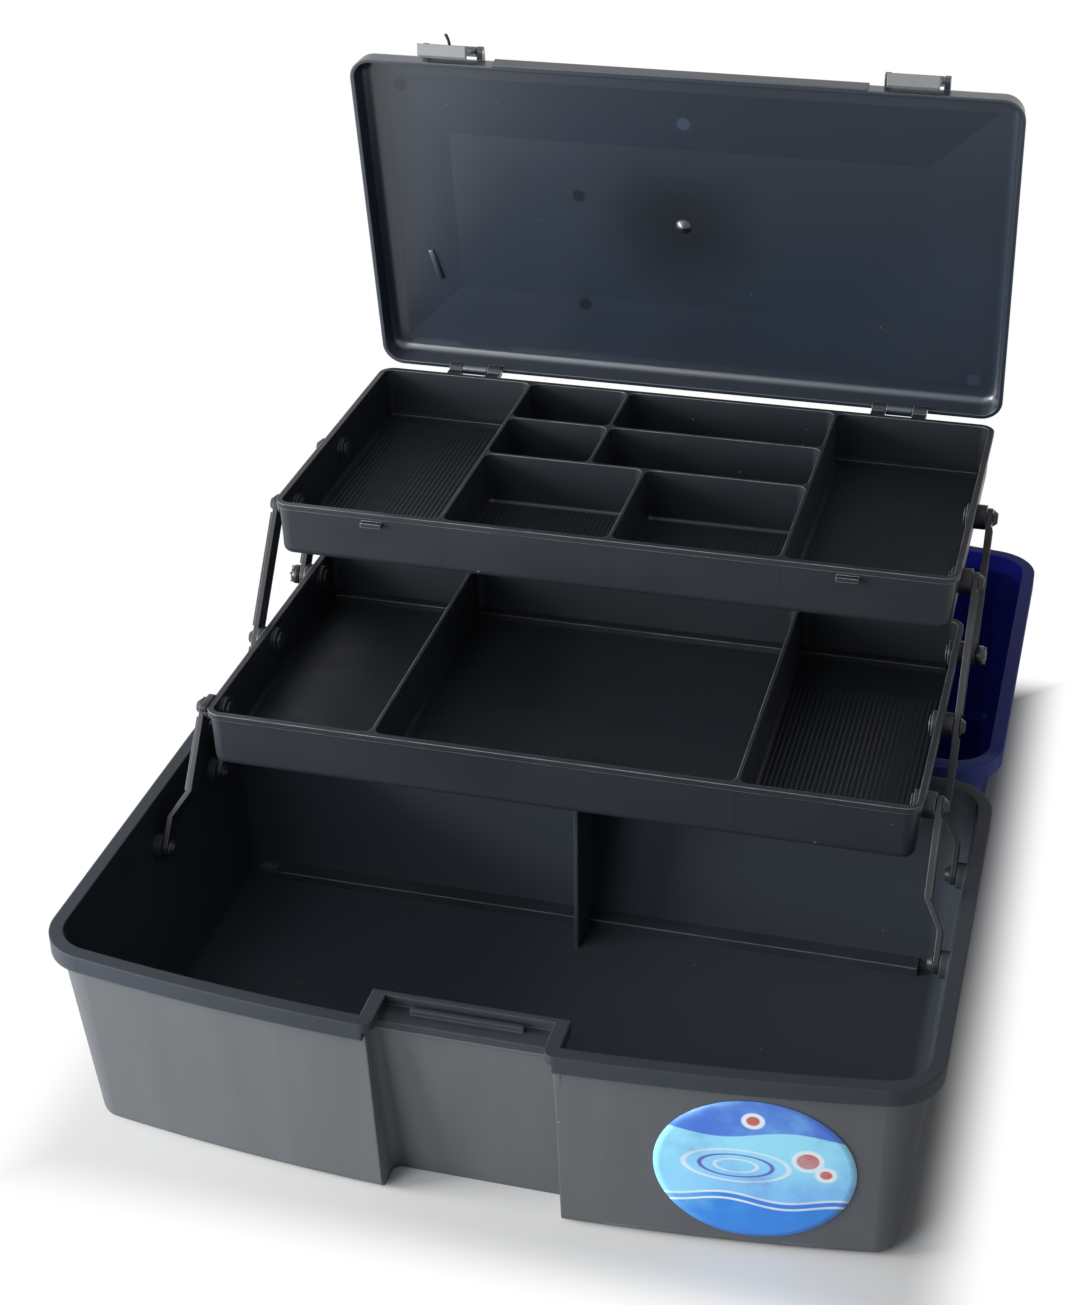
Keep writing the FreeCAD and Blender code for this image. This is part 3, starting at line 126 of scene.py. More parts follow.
# Ejector marks inside the cover: millimetres across and along it, and how light or dark each one is.
MARK_LEVEL = 12.5 * MM
MARK_RADIUS = 4.2 * MM
COVER_MARKS = ((0.5, -157.8, 2.4), (-58.6, -110.3, 0.3), (-58.0, -42.0, 0.3), (-153.6, -170.0, 0.3),
               (160.0, -16.0, 1.8))

# Curved tongue of the left latch: short bars one above the other, each leaning further than the last.
TONGUE_BARS = 6
TONGUE_BAR = (1.5 * MM, 1.3 * MM, 1.9 * MM)
TONGUE_FOOT = (-2.0 * MM, 0, 2.0 * MM)
TONGUE_CLIMB = 1.15 * MM
TONGUE_DRIFT = 0.34 * MM
TONGUE_FIRST_LEAN = -8
TONGUE_CURL = 11

# Ear on the left rim of the middle tray.
EAR_SIZE = (4.2 * MM, 13 * MM, 3.4 * MM)
EAR_SIDE = -176.6 * MM
EAR_BEHIND = 11 * MM
EAR_SUNK = 0.9 * MM

LABEL_PLACE = (127.5 * MM, 0.0, 49.8 * MM)
LABEL_PROUD = 0.3 * MM
LABEL_THICKNESS = 0.25 * MM

# The floor keeps the box's shadow within these half sides, and fades to white beyond them.
SHADOW_HALF_X = 0.2
SHADOW_HALF_Y = 0.26
FLOOR_DROP = 0.4 * MM

# Soft lamps: name, the setting that holds the power, place, width, height and colour.
LAMPS = (("key_lamp", "key_power", (-1.3, -0.65, 0.42), 0.7, 0.7, (1.0, 0.99, 0.97)),
         ("top_lamp", "top_power", (-0.55, -1.05, 1.05), 0.9, 0.9, (0.97, 0.98, 1.0)),
         ("fill_lamp", "fill_power", (-0.78, -1.4, 0.35), 0.6, 0.7, (0.95, 0.97, 1.0)))
LAMP_AIM = (0.0, -0.02, 0.15)

# Camera: place in metres, and its turns to the left, down and about its own axis in radians.
CAMERA_PLACE = (0.2412, -0.9809, 0.7428)
CAMERA_YAW = 0.271
CAMERA_PITCH = 0.529
CAMERA_ROLL = -0.015


class TackleBoxColours(bpy.types.PropertyGroup):
    wall_grey: bpy.props.FloatVectorProperty(
        name="Wall grey", description="Outer walls of the tub", subtype="COLOR", size=4, min=0, max=1,
        default=(0.104, 0.110, 0.118, 1))
    rim_grey: bpy.props.FloatVectorProperty(
        name="Rim grey", description="Rim band and inside of the tub", subtype="COLOR", size=4, min=0,
        max=1, default=(0.036, 0.043, 0.054, 1))
    tray_black: bpy.props.FloatVectorProperty(
        name="Tray black", description="Both trays", subtype="COLOR", size=4, min=0, max=1,
        default=(0.020, 0.0235, 0.030, 1))
    cover_blue: bpy.props.FloatVectorProperty(
        name="Cover blue-black", description="Cover of the top tray", subtype="COLOR", size=4, min=0,
        max=1, default=(0.016, 0.024, 0.038, 1))
    lid_blue: bpy.props.FloatVectorProperty(
        name="Lid blue", description="Lid", subtype="COLOR", size=4, min=0, max=1,
        default=(0.006, 0.009, 0.135, 1))
    latch_grey: bpy.props.FloatVectorProperty(
        name="Latch grey", description="Latches and handle", subtype="COLOR", size=4, min=0, max=1,
        default=(0.20, 0.21, 0.22, 1))
    link_grey: bpy.props.FloatVectorProperty(
        name="Link grey", description="Links, pivot pins and, darker, knobs", subtype="COLOR", size=4,
        min=0, max=1, default=(0.022, 0.024, 0.028, 1))
    steel: bpy.props.FloatVectorProperty(
        name="Steel", description="Wire pins", subtype="COLOR", size=4, min=0, max=1,
        default=(0.55, 0.55, 0.56, 1))
    label_blue: bpy.props.FloatVectorProperty(
        name="Label blue", description="Upper band of the oval label", subtype="COLOR", size=4, min=0,
        max=1, default=(0.07, 0.19, 0.72, 1))
    label_sky: bpy.props.FloatVectorProperty(
        name="Label sky", description="Middle of the oval label", subtype="COLOR", size=4, min=0, max=1,
        default=(0.24, 0.58, 0.98, 1))
    label_coral: bpy.props.FloatVectorProperty(
        name="Label coral", description="Spots of the oval label", subtype="COLOR", size=4, min=0, max=1,
        default=(0.62, 0.09, 0.07, 1))


class TackleBoxMouldings(bpy.types.PropertyGroup):
    edge_width: bpy.props.FloatProperty(
        name="Link edge width", description="Raised edge of a link", default=1.5 * MM, unit="LENGTH")
    edge_rise: bpy.props.FloatProperty(
        name="Link edge height", description="Raised edge of a link over its face", default=0.9 * MM,
        unit="LENGTH")
    knob_radius: bpy.props.FloatProperty(
        name="Knob radius", description="Domed head on the rear pivot of the middle tray",
        default=5.2 * MM, unit="LENGTH")
    knob_rise: bpy.props.FloatProperty(
        name="Knob height", description="Domed head over the pin", default=3.2 * MM, unit="LENGTH")
    step_depth: bpy.props.FloatProperty(
        name="Step depth", description="Step along the foot of a tray's rear wall", default=5.6 * MM,
        unit="LENGTH")
    step_rise: bpy.props.FloatProperty(
        name="Step height", description="Step along the foot of a tray's rear wall", default=3.4 * MM,
        unit="LENGTH")
    ridge_pitch: bpy.props.FloatProperty(
        name="Ridge pitch", description="Fine ridges on the floors of the trays", default=2.6 * MM,
        unit="LENGTH")
    label_half_width: bpy.props.FloatProperty(
        name="Label half width", description="Oval label", default=43.5 * MM, unit="LENGTH")
    label_half_height: bpy.props.FloatProperty(
        name="Label half height", description="Oval label, straight up", default=42 * MM, unit="LENGTH")


class TackleBoxStudio(bpy.types.PropertyGroup):
    key_power: bpy.props.FloatProperty(
        name="Key light", description="Strong soft light, low at the left", default=34, unit="POWER")
    top_power: bpy.props.FloatProperty(
        name="Top light", description="Weak soft light, high in front", default=5, unit="POWER")
    fill_power: bpy.props.FloatProperty(
        name="Fill light", description="Soft light, low in front", default=9.5, unit="POWER")
    world_strength: bpy.props.FloatProperty(
        name="Room light", description="Even light from all sides", default=0.12, min=0)
    floor_size: bpy.props.FloatProperty(
        name="Floor size", description="Side of the pale floor", default=12, unit="LENGTH")
    lens: bpy.props.FloatProperty(
        name="Lens", description="Focal length of the camera", default=63.8, unit="CAMERA")


# Sums and patterns in materials


def add_node(tree, kind, values=None, **settings):
    """New shader node; values fill its sockets, settings its own fields."""
    made = tree.nodes.new(kind)
    for name, value in settings.items():
        setattr(made, name, value)
    for socket, value in (values or {}).items():
        if isinstance(value, bpy.types.NodeSocket):
            tree.links.new(value, made.inputs[socket])
        else:
            made.inputs[socket].default_value = value
    return made


def worked_out(tree, operation, *terms):
    """Result of a Math node on numbers or sockets."""
    return add_node(tree, "ShaderNodeMath", dict(enumerate(terms)), operation=operation).outputs[0]


def combined(tree, operation, terms):
    """Result of one operation on several terms, taken one after the other."""
    result = terms[0]
    for term in terms[1:]:
        result = worked_out(tree, operation, result, term)
    return result


def plus(tree, *terms):
    """Sum of its terms."""
    return combined(tree, "ADD", terms)


def minus(tree, first, second):
    """First term less the second."""
    return worked_out(tree, "SUBTRACT", first, second)


def times(tree, *terms):
    """Product of its terms."""
    return combined(tree, "MULTIPLY", terms)


def highest(tree, *terms):
    """Largest of its terms."""
    return combined(tree, "MAXIMUM", terms)


def lowest(tree, *terms):
    """Smallest of its terms."""
    return combined(tree, "MINIMUM", terms)


def beside(tree, value, line):
    """Distance of a value from a line, on either side."""
    return worked_out(tree, "ABSOLUTE", minus(tree, value, line))


def diagonal(tree, first, second):
    """Long side of a right-angled triangle."""
    return worked_out(tree, "SQRT", plus(tree, times(tree, first, first), times(tree, second, second)))


def away_from(tree, place, point):
    """Distance of a place from a point."""
    return add_node(tree, "ShaderNodeVectorMath", {0: place, 1: point}, operation="DISTANCE").outputs["Value"]


def ramp(tree, value, start, end, low=0.0, high=1.0):
    """Value that runs from low to high while its input runs from start to end."""
    return add_node(tree, "ShaderNodeMapRange",
                    {"Value": value, "From Min": start, "From Max": end, "To Min": low, "To Max": high},
                    interpolation_type="SMOOTHSTEP").outputs["Result"]


def mixed(tree, share, first, second):
    """Mix of two colours by a share."""
    return add_node(tree, "ShaderNodeMix", {0: share, 6: first, 7: second}, data_type="RGBA").outputs[2]


def shade(colour, factor):
    """Colour made lighter or darker."""
    return tuple(min(1.0, channel * factor) for channel in colour[:3]) + (1.0,)


def noise(tree, place, scale, detail=3.0, roughness=0.5):
    """Soft cloudy pattern, 0 to 1."""
    return add_node(tree, "ShaderNodeTexNoise",
                    {"Vector": place, "Scale": scale, "Detail": detail, "Roughness": roughness}
                    ).outputs["Fac"]


def stretched(tree, place, scales, turn=0.0):
    """Coordinates stretched, and turned about each axis."""
    return add_node(tree, "ShaderNodeMapping",
                    {"Vector": place, "Scale": scales, "Rotation": (turn, turn, turn)}).outputs["Vector"]


class Plastic:
    """Material under way: its coordinates, and its colour, roughness and normal so far."""

    def __init__(self, name, colour, roughness, edge, specular=0.5):
        self.material = bpy.data.materials.new(name)
        self.material.use_nodes = True
        self.tree = self.material.node_tree
        self.shader = self.tree.nodes["Principled BSDF"]
        self.shader.inputs["Specular IOR Level"].default_value = specular
        self.place = add_node(self.tree, "ShaderNodeTexCoord").outputs["Object"]
        axes = add_node(self.tree, "ShaderNodeSeparateXYZ", {0: self.place}).outputs
        self.across, self.along, self.height = axes
        self.side = worked_out(self.tree, "ABSOLUTE", self.across)
        flat = add_node(self.tree, "ShaderNodeNewGeometry").outputs["Normal"]
        self.normal = add_node(self.tree, "ShaderNodeBevel", {"Radius": edge}, samples=6).outputs["Normal"]
        facing = add_node(self.tree, "ShaderNodeVectorMath", {0: self.normal, 1: flat},
                          operation="DOT_PRODUCT").outputs["Value"]
        self.edge = ramp(self.tree, facing, start=0.995, end=0.86)
        self.colour = colour
        self.roughness = roughness

    def tint(self, share, colour):
        """Lets another colour through by a share."""
        self.colour = mixed(self.tree, share, self.colour, colour)

    def gloss(self, share, roughness):
        """Lets another roughness through by a share."""
        span = add_node(self.tree, "ShaderNodeMix", {0: share, 2: self.roughness, 3: roughness})
        self.roughness = span.outputs[0]

    def relief(self, height, distance, strength=1.0):
        """Adds a bump."""
        self.normal = add_node(self.tree, "ShaderNodeBump",
                               {"Height": height, "Distance": distance, "Strength": strength,
                                "Normal": self.normal}).outputs["Normal"]

    def clouds(self, lighter, darker, scale):
        """Slow variation of colour and gloss over the piece."""
        cloud = noise(self.tree, self.place, scale, detail=4.0, roughness=0.6)
        self.tint(ramp(self.tree, cloud, start=0.45, end=0.75, high=0.5), lighter)
        self.tint(ramp(self.tree, cloud, start=0.52, end=0.28, high=0.5), darker)
        smear = noise(self.tree, stretched(self.tree, self.place, (5.0, 26.0, 14.0)), scale=3.0, detail=4.0,
                      roughness=0.6)
        self.gloss(ramp(self.tree, smear, start=0.42, end=0.68, high=0.6), roughness=0.30)

    def dust(self, colour, amount):
        """Specks of dust, gathered in patches."""
        speck = add_node(self.tree, "ShaderNodeTexVoronoi", {"Vector": self.place, "Scale": 110.0})
        near = ramp(self.tree, speck.outputs["Distance"], start=0.075, end=0.035)
        patch = ramp(self.tree, noise(self.tree, self.place, scale=22.0), start=0.5, end=0.62)
        chance = add_node(self.tree, "ShaderNodeSeparateColor", {0: speck.outputs["Color"]}).outputs[0]
        some = worked_out(self.tree, "GREATER_THAN", chance, 0.72)
        self.tint(times(self.tree, near, some, patch, amount), colour)

    def scratches(self, colour, amount):
        """Sparse fine scratches in two directions."""
        lines = [noise(self.tree, stretched(self.tree, self.place, (9.0, 700.0, 120.0), turn), scale=1.0,
                       detail=2.0) for turn in (0.35, -0.9)]
        thin = highest(self.tree, *[ramp(self.tree, line, start=0.735, end=0.76) for line in lines])
        patch = ramp(self.tree, noise(self.tree, self.place, scale=13.0), start=0.5, end=0.66)
        cut = times(self.tree, thin, patch)
        self.tint(times(self.tree, cut, amount), colour)
        self.relief(cut, -0.03 * MM)

    def wear_and_highlight(self, colour, amount):
        """Paler outer edges, uneven along their length: worn edges, and on some pieces a painted edge
        highlight.
        """
        patchy = ramp(self.tree, noise(self.tree, self.place, scale=60.0, detail=4.0), start=0.30, end=0.62,
                   low=0.35)
        self.tint(times(self.tree, self.edge, patchy, amount), colour)

    def grain(self, scale, distance, strength):
        """Fine grain of a moulded surface."""
        self.relief(noise(self.tree, self.place, scale, detail=2.0), distance, strength)

    def done(self):
        """Puts colour, roughness and normal on the shader."""
        for socket, value in (("Base Color", self.colour), ("Roughness", self.roughness),
                              ("Normal", self.normal)):
            if isinstance(value, bpy.types.NodeSocket):
                self.tree.links.new(value, self.shader.inputs[socket])
            else:
                self.shader.inputs[socket].default_value = value
        return self.material


# Finishes


def outer_walls(plastic):
    """Share that is 1 on the outer walls of the tub below its rim band, and 0 on its inside."""
    tree = plastic.tree
    middle = WALL / 2
    drop = times(tree, minus(tree, RIM, plastic.height), LEAN)
    bow = worked_out(tree, "DIVIDE", times(tree, plastic.across, plastic.across), 2 * BOW)
    past_side = minus(tree, plastic.side, HALF_WIDTH - CORNER)
    past_rear = minus(tree, plastic.along, REAR_WALL - CORNER)
    past_front = minus(tree, plus(tree, bow, FRONT_WALL + CORNER), plastic.along)
    reach = diagonal(tree, highest(tree, past_side, 0.0), highest(tree, past_rear, past_front, 0.0))
    walls = plus(tree, minus(tree, reach, CORNER - middle), drop)
    slope = times(tree, minus(tree, LEDGE, plastic.height), PANEL_LEAN)
    panel = minus(tree, plus(tree, slope, PANEL + middle), plastic.along)
    in_notch = minus(tree, NOTCH_HALF + middle, plastic.side)
    bottom = minus(tree, middle, plastic.height)
    outside = highest(tree, walls, bottom, lowest(tree, panel, in_notch))
    below_band = minus(tree, RIM - BAND + 0.4 * MM, plastic.height)
    return ramp(tree, lowest(tree, outside, below_band), start=-0.1 * MM, end=0.1 * MM)


def ridged(plastic, floor_level, areas, pitch):
    """Fine ridges from front to rear; each area is its sides along X and Y and how strongly it shows."""
    tree = plastic.tree
    wave = worked_out(tree, "SINE", times(tree, plastic.across, 2 * math.pi / pitch))
    flat = ramp(tree, beside(tree, plastic.height, floor_level), start=0.6 * MM, end=0.3 * MM)
    shown = []
    for left, right, front, rear, strength in areas:
        inside = lowest(tree, minus(tree, plastic.across, left), minus(tree, right, plastic.across),
                        minus(tree, plastic.along, front), minus(tree, rear, plastic.along))
        shown.append(times(tree, ramp(tree, inside, start=0.0, end=2 * MM), strength))
    share = times(tree, highest(tree, *shown), flat)
    plastic.relief(times(tree, wave, share), 0.22 * MM)
    return share


def tub_plastic(colours):
    """Grained grey outside, smooth dark rim and inside, the inside painted lighter towards its floor to lift
    the shade there.
    """
    made = Plastic("tub_plastic", colours.rim_grey[:], 0.45, edge=1.2 * MM, specular=0.15)
    made.clouds(shade(colours.rim_grey, 1.35), shade(colours.rim_grey, 0.72), scale=7.0)
    # Painted light: lighter towards the floor inside the tub, lifting the shade deep inside it.
    made.tint(ramp(made.tree, made.height, start=96 * MM, end=70 * MM), shade(colours.rim_grey, 1.6))
    outside = outer_walls(made)
    made.tint(outside, colours.wall_grey[:])
    made.gloss(outside, roughness=0.62)
    streaks = noise(made.tree, stretched(made.tree, made.place, (60.0, 60.0, 5.0)), scale=1.0)
    pale = ramp(made.tree, streaks, start=0.5, end=0.72, high=0.25)
    made.tint(times(made.tree, pale, outside), shade(colours.wall_grey, 1.22))
    dark = ramp(made.tree, streaks, start=0.5, end=0.3, high=0.22)
    made.tint(times(made.tree, dark, outside), shade(colours.wall_grey, 0.8))
    made.wear_and_highlight(colours.wall_grey[:], amount=0.35)
    made.dust((0.35, 0.37, 0.40, 1), amount=0.5)
    made.scratches((0.16, 0.18, 0.20, 1), amount=0.25)
    coarse = noise(made.tree, made.place, scale=1700.0, detail=2.0)
    made.relief(times(made.tree, coarse, outside), 0.06 * MM, strength=0.6)
    made.grain(scale=2400.0, distance=0.01 * MM, strength=0.3)
    return made.done()


def lid_plastic(colours):
    """Satin deep blue, with painted light: lighter on the rim band, lightest at the hinge, and a painted blue
    highlight along its edges.
    """
    made = Plastic("lid_plastic", colours.lid_blue[:], 0.40, edge=1.2 * MM, specular=0.06)
    made.clouds(shade(colours.lid_blue, 1.25), shade(colours.lid_blue, 0.7), scale=7.0)
    # Painted light: the rim band lighter and the hinge end lightest, where light falls on the lid.
    painted_light_band = ramp(made.tree, made.height, start=97 * MM, end=99 * MM)
    made.tint(painted_light_band, (0.014, 0.020, 0.30, 1))
    painted_light_hinge = ramp(made.tree, made.along, start=26 * MM, end=18 * MM)
    made.tint(painted_light_hinge, (0.09, 0.12, 0.42, 1))
    # Painted highlight: bright blue along the lid's edges, standing in for its lit lip.
    made.wear_and_highlight((0.05, 0.075, 0.42, 1), amount=0.8)
    made.dust((0.25, 0.28, 0.45, 1), amount=0.35)
    made.scratches((0.10, 0.12, 0.40, 1), amount=0.25)
    made.grain(scale=2200.0, distance=0.02 * MM, strength=0.3)
    return made.done()


def tray_plastic(tray, colours, pitch):
    """Black of a tray, with ridged floors and faint lines where its dividers meet its front."""
    made = Plastic(f"{tray}_plastic", colours.tray_black[:], 0.42, edge=0.7 * MM, specular=0.32)
    made.clouds(shade(colours.tray_black, 1.35), shade(colours.tray_black, 0.75), scale=8.0)
    low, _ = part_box(tray)
    areas = [(left * MM, right * MM, low.y + front * MM, low.y + rear * MM, strength)
             for left, right, front, rear, strength in TRAYS[tray]["ridges"]]
    ridges = ridged(made, low.z + TRAY_FLOOR, areas, pitch)
    made.tint(times(made.tree, ridges, 0.35), shade(colours.tray_black, 1.5))
    for divider in TRAYS[tray]["dividers"]:
        seam = ramp(made.tree, beside(made.tree, made.across, divider * MM), start=1.2 * MM, end=0.5 * MM,
                    high=0.35)
        made.tint(seam, shade(colours.tray_black, 0.6))
    # Paler edges: worn edges, and the painted highlight along the rims and along the edges of the wall steps.
    made.wear_and_highlight((0.32, 0.335, 0.36, 1), amount=1.0)
    made.dust((0.30, 0.31, 0.33, 1), amount=0.8)
    made.scratches((0.12, 0.125, 0.13, 1), amount=0.4)
    made.grain(scale=1900.0, distance=0.02 * MM, strength=0.35)
    return made.done()


def step_plastic(colours):
    """Dark grey of the step inside the tub, with a painted highlight along its edges."""
    made = Plastic("step_plastic", shade(colours.rim_grey, 1.2), 0.34, edge=0.7 * MM, specular=0.4)
    made.clouds(shade(colours.rim_grey, 1.8), shade(colours.rim_grey, 0.8), scale=20.0)
    # Painted highlight along the step's edges.
    made.wear_and_highlight((0.40, 0.43, 0.47, 1), amount=1.0)
    made.grain(scale=2000.0, distance=0.02 * MM, strength=0.3)
    return made.done()


def cover_plastic(colours):
    """Satin blue-black of the cover, darker round its gate, with its ejector marks."""
    made = Plastic("cover_plastic", colours.cover_blue[:], 0.30, edge=1.0 * MM, specular=0.72)
    made.shader.inputs["IOR"].default_value = 1.6
    made.clouds(shade(colours.cover_blue, 1.3), shade(colours.cover_blue, 0.75), scale=6.0)
    wobble = times(made.tree, noise(made.tree, made.place, scale=30.0), 22 * MM)
    around_gate = plus(made.tree, away_from(made.tree, made.place, GATE), wobble)
    made.tint(ramp(made.tree, around_gate, start=66 * MM, end=18 * MM, high=0.8),
              shade(colours.cover_blue, 0.35))
    for across, along, tone in COVER_MARKS:
        spot = COVER_PLACE @ Vector((across * MM, along * MM, MARK_LEVEL))
        mark = ramp(made.tree, away_from(made.tree, made.place, spot), start=MARK_RADIUS,
                    end=MARK_RADIUS - 1 * MM, high=0.85)
        made.tint(mark, shade(colours.cover_blue, tone))
    made.wear_and_highlight((0.10, 0.12, 0.15, 1), amount=0.35)
    made.dust((0.30, 0.33, 0.37, 1), amount=0.5)
    made.grain(scale=2400.0, distance=0.012 * MM, strength=0.3)
    return made.done()


def latch_plastic(colours):
    """Pale grey of the latches and the handle."""
    made = Plastic("latch_plastic", colours.latch_grey[:], 0.40, edge=0.6 * MM)
    made.clouds(shade(colours.latch_grey, 1.2), shade(colours.latch_grey, 0.8), scale=25.0)
    made.wear_and_highlight(shade(colours.latch_grey, 1.8), amount=0.5)
    made.scratches(shade(colours.latch_grey, 1.6), amount=0.4)
    made.grain(scale=1800.0, distance=0.02 * MM, strength=0.35)
    return made.done()


def link_plastic(colours):
    """Grey of the links, paler along their raised edges: worn edges and a painted highlight."""
    made = Plastic("link_plastic", colours.link_grey[:], 0.40, edge=0.6 * MM, specular=0.3)
    made.clouds(shade(colours.link_grey, 1.5), shade(colours.link_grey, 0.6), scale=30.0)
    # Paler raised edges: worn edges, and the painted highlight of the light lines along them.
    made.wear_and_highlight((0.24, 0.25, 0.26, 1), amount=0.5)
    made.scratches((0.14, 0.15, 0.16, 1), amount=0.5)
    made.dust((0.35, 0.36, 0.38, 1), amount=0.6)
    made.grain(scale=1600.0, distance=0.03 * MM, strength=0.4)
    return made.done()


def knob_plastic(colours):
    """Darker, coarser grey of the domed heads."""
    made = Plastic("knob_plastic", shade(colours.link_grey, 0.55), 0.32, edge=0.4 * MM)
    cells = add_node(made.tree, "ShaderNodeTexVoronoi", {"Vector": made.place, "Scale": 900.0})
    made.relief(cells.outputs["Distance"], 0.2 * MM, strength=0.6)
    pits = ramp(made.tree, cells.outputs["Distance"], start=0.25, end=0.05, high=0.6)
    made.tint(pits, (0.28, 0.29, 0.30, 1))
    made.wear_and_highlight((0.35, 0.36, 0.37, 1), amount=0.8)
    return made.done()


def wire_steel(colours):
    """Drawn steel wire, dulled in places."""
    made = Plastic("wire_steel", colours.steel[:], 0.30, edge=0.2 * MM)
    made.shader.inputs["Metallic"].default_value = 1.0
    drawn = noise(made.tree, stretched(made.tree, made.place, (30.0, 2500.0, 2500.0)), scale=1.0, detail=2.0)
    made.gloss(ramp(made.tree, drawn, start=0.35, end=0.7), roughness=0.45)
    dull = ramp(made.tree, noise(made.tree, made.place, scale=140.0), start=0.55, end=0.75, high=0.5)
    made.tint(dull, (0.30, 0.29, 0.28, 1))
    made.relief(drawn, 0.01 * MM, strength=0.5)
    return made.done()


def label_paint(colours, half_width, half_height):
    """Oval label: three blues divided by soft waves, pale rings of ripples and coral spots."""
    low_blue, foam = (0.03, 0.25, 0.78, 1), (0.78, 0.88, 0.96, 1)
    pale_ring, violet_ring, spot_rim = (0.72, 0.84, 0.95, 1), (0.16, 0.12, 0.50, 1), (0.80, 0.88, 0.95, 1)
    upper_line, lower_line = 0.53, -0.40
    made = Plastic("label_film", colours.label_blue[:], 0.22, edge=0.1 * MM)
    tree = made.tree
    across = worked_out(tree, "DIVIDE", minus(tree, made.across, LABEL_PLACE[0]), half_width)
    level = worked_out(tree, "DIVIDE", minus(tree, made.height, LABEL_PLACE[2]), half_height)
    upper_wave = times(tree, worked_out(tree, "SINE", times(tree, across, 4.2)), 0.06)
    lower_wave = times(tree, worked_out(tree, "SINE", times(tree, across, -5.4)), 0.05)
    upper = minus(tree, level, upper_wave)
    lower = minus(tree, level, lower_wave)
    below_upper = ramp(tree, upper, start=upper_line, end=upper_line - 0.02)
    made.tint(below_upper, colours.label_sky[:])
    glow = ramp(tree, lower, start=-0.55, end=0.45, high=0.55)
    made.tint(times(tree, glow, below_upper), shade(colours.label_sky, 1.6))
    made.tint(ramp(tree, lower, start=lower_line, end=lower_line - 0.02), low_blue)
    for line in (lower_line - 0.005, lower_line - 0.10):
        made.tint(ramp(tree, beside(tree, lower, line), start=0.022, end=0.010), foam)
    left = plus(tree, across, 0.18)
    high = minus(tree, level, 0.05)
    ripple = worked_out(tree, "SQRT", plus(tree, times(tree, left, left), times(tree, high, high, 5.0)))
    for radius, width, colour in ((0.52, 0.035, pale_ring), (0.36, 0.030, violet_ring),
                                  (0.21, 0.028, pale_ring)):
        made.tint(ramp(tree, beside(tree, ripple, radius), start=width, end=width * 0.5), colour)
    for x, z, radius in ((0.52, 0.20, 0.12), (0.70, 0.02, 0.07), (-0.02, 0.72, 0.075)):
        away = diagonal(tree, minus(tree, across, x), minus(tree, level, z))
        made.tint(ramp(tree, away, start=radius + 0.05, end=radius + 0.03), spot_rim)
        made.tint(ramp(tree, away, start=radius, end=radius - 0.02), colours.label_coral[:])
    made.clouds(shade(colours.label_sky, 1.5), shade(colours.label_blue, 0.8), scale=20.0)
    made.relief(noise(tree, made.place, scale=220.0, detail=2.0), 0.02 * MM, strength=0.3)
    return made.done()


# Pieces


def put(shape, before, place):
    """Moves what a bmesh gained since before."""
    gained = [vert for vert in shape.verts if vert not in before]
    bmesh.ops.transform(shape, matrix=place, verts=gained)


def add_bar(shape, size, place, bevel, segments=2):
    """Bar with rounded edges, centred, then put in place."""
    before = set(shape.verts)
    cube = bmesh.ops.create_cube(shape, size=1.0)["verts"]
    bmesh.ops.scale(shape, vec=Vector(size), verts=cube)
    edges = list({edge for vert in cube for edge in vert.link_edges})
    bmesh.ops.bevel(shape, geom=edges, offset=bevel, offset_type="OFFSET", affect="EDGES",
                    segments=segments, profile=0.5, material=-1)
    put(shape, before, place)


def add_turned(shape, profile, place, steps=28):
    """Round solid about Z from the radii and heights of its profile, then put in place."""
    before = set(shape.verts)
    spots = [shape.verts.new((radius, 0.0, level)) for radius, level in profile]
    rims = [shape.edges.new(pair) for pair in zip(spots, spots[1:])]
    bmesh.ops.spin(shape, geom=spots + rims, cent=(0, 0, 0), axis=(0, 0, 1), dvec=(0, 0, 0),
                   angle=2 * math.pi, steps=steps, use_merge=True, use_duplicate=False)
    gained = [vert for vert in shape.verts if vert not in before]
    bmesh.ops.remove_doubles(shape, verts=gained, dist=0.001 * MM)
    put(shape, before, place)


def finished(name, shape, material, body, smooth=True):
    """Object from a bmesh, with its material, on the body that carries it."""
    bmesh.ops.recalc_face_normals(shape, faces=shape.faces)
    mesh = bpy.data.meshes.new(name)
    shape.to_mesh(mesh)
    shape.free()
    for face in mesh.polygons:
        face.use_smooth = smooth
    piece = bpy.data.objects.new(name, mesh)
    bpy.context.scene.collection.objects.link(piece)
    mesh.materials.append(material)
    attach(piece, body)


def dress(nodes, material):
    """Gives CAD nodes their material."""
    for name in nodes:
        thing = frame["nodes"][name]
        if not thing.material_slots:
            raise RuntimeError(f"{name} has no material slot")
        for slot in thing.material_slots:
            slot.material = material


class TACKLE_BOX_OT_finishes(bpy.types.Operator):
    """Give every part of the box its own moulded plastic or steel"""
    bl_idname = "tackle_box.finishes"
    bl_label = "Finishes"

    def execute(self, context):
        colours = context.scene.tackle_box_colours
        dress(["base_tub"], tub_plastic(colours))
        dress(["lid_shell"], lid_plastic(colours))
        for tray in TRAYS:
            dress([tray], tray_plastic(tray, colours, context.scene.tackle_box_mouldings.ridge_pitch))
        dress(["tray_cover"], cover_plastic(colours))
        dress(["cover_latch_left", "cover_latch_right", "lid_latch", "handle"], latch_plastic(colours))
        links = [f"{place}_link_{side}" for place in ("lower", "long", "upper") for side, _ in SIDES]
        dress(links + ["base_pivot_pins", "middle_pivot_pins", "top_pivot_pins"], link_plastic(colours))
        dress(["middle_pin_retainers", "top_pin_retainers"], bpy.data.materials["top_tray_plastic"])
        dress(["lid_hinge_pins", "cover_hinge_pins", "cover_latch_pins", "lid_latch_pin", "handle_pins"],
              wire_steel(colours))
        return {"FINISHED"}


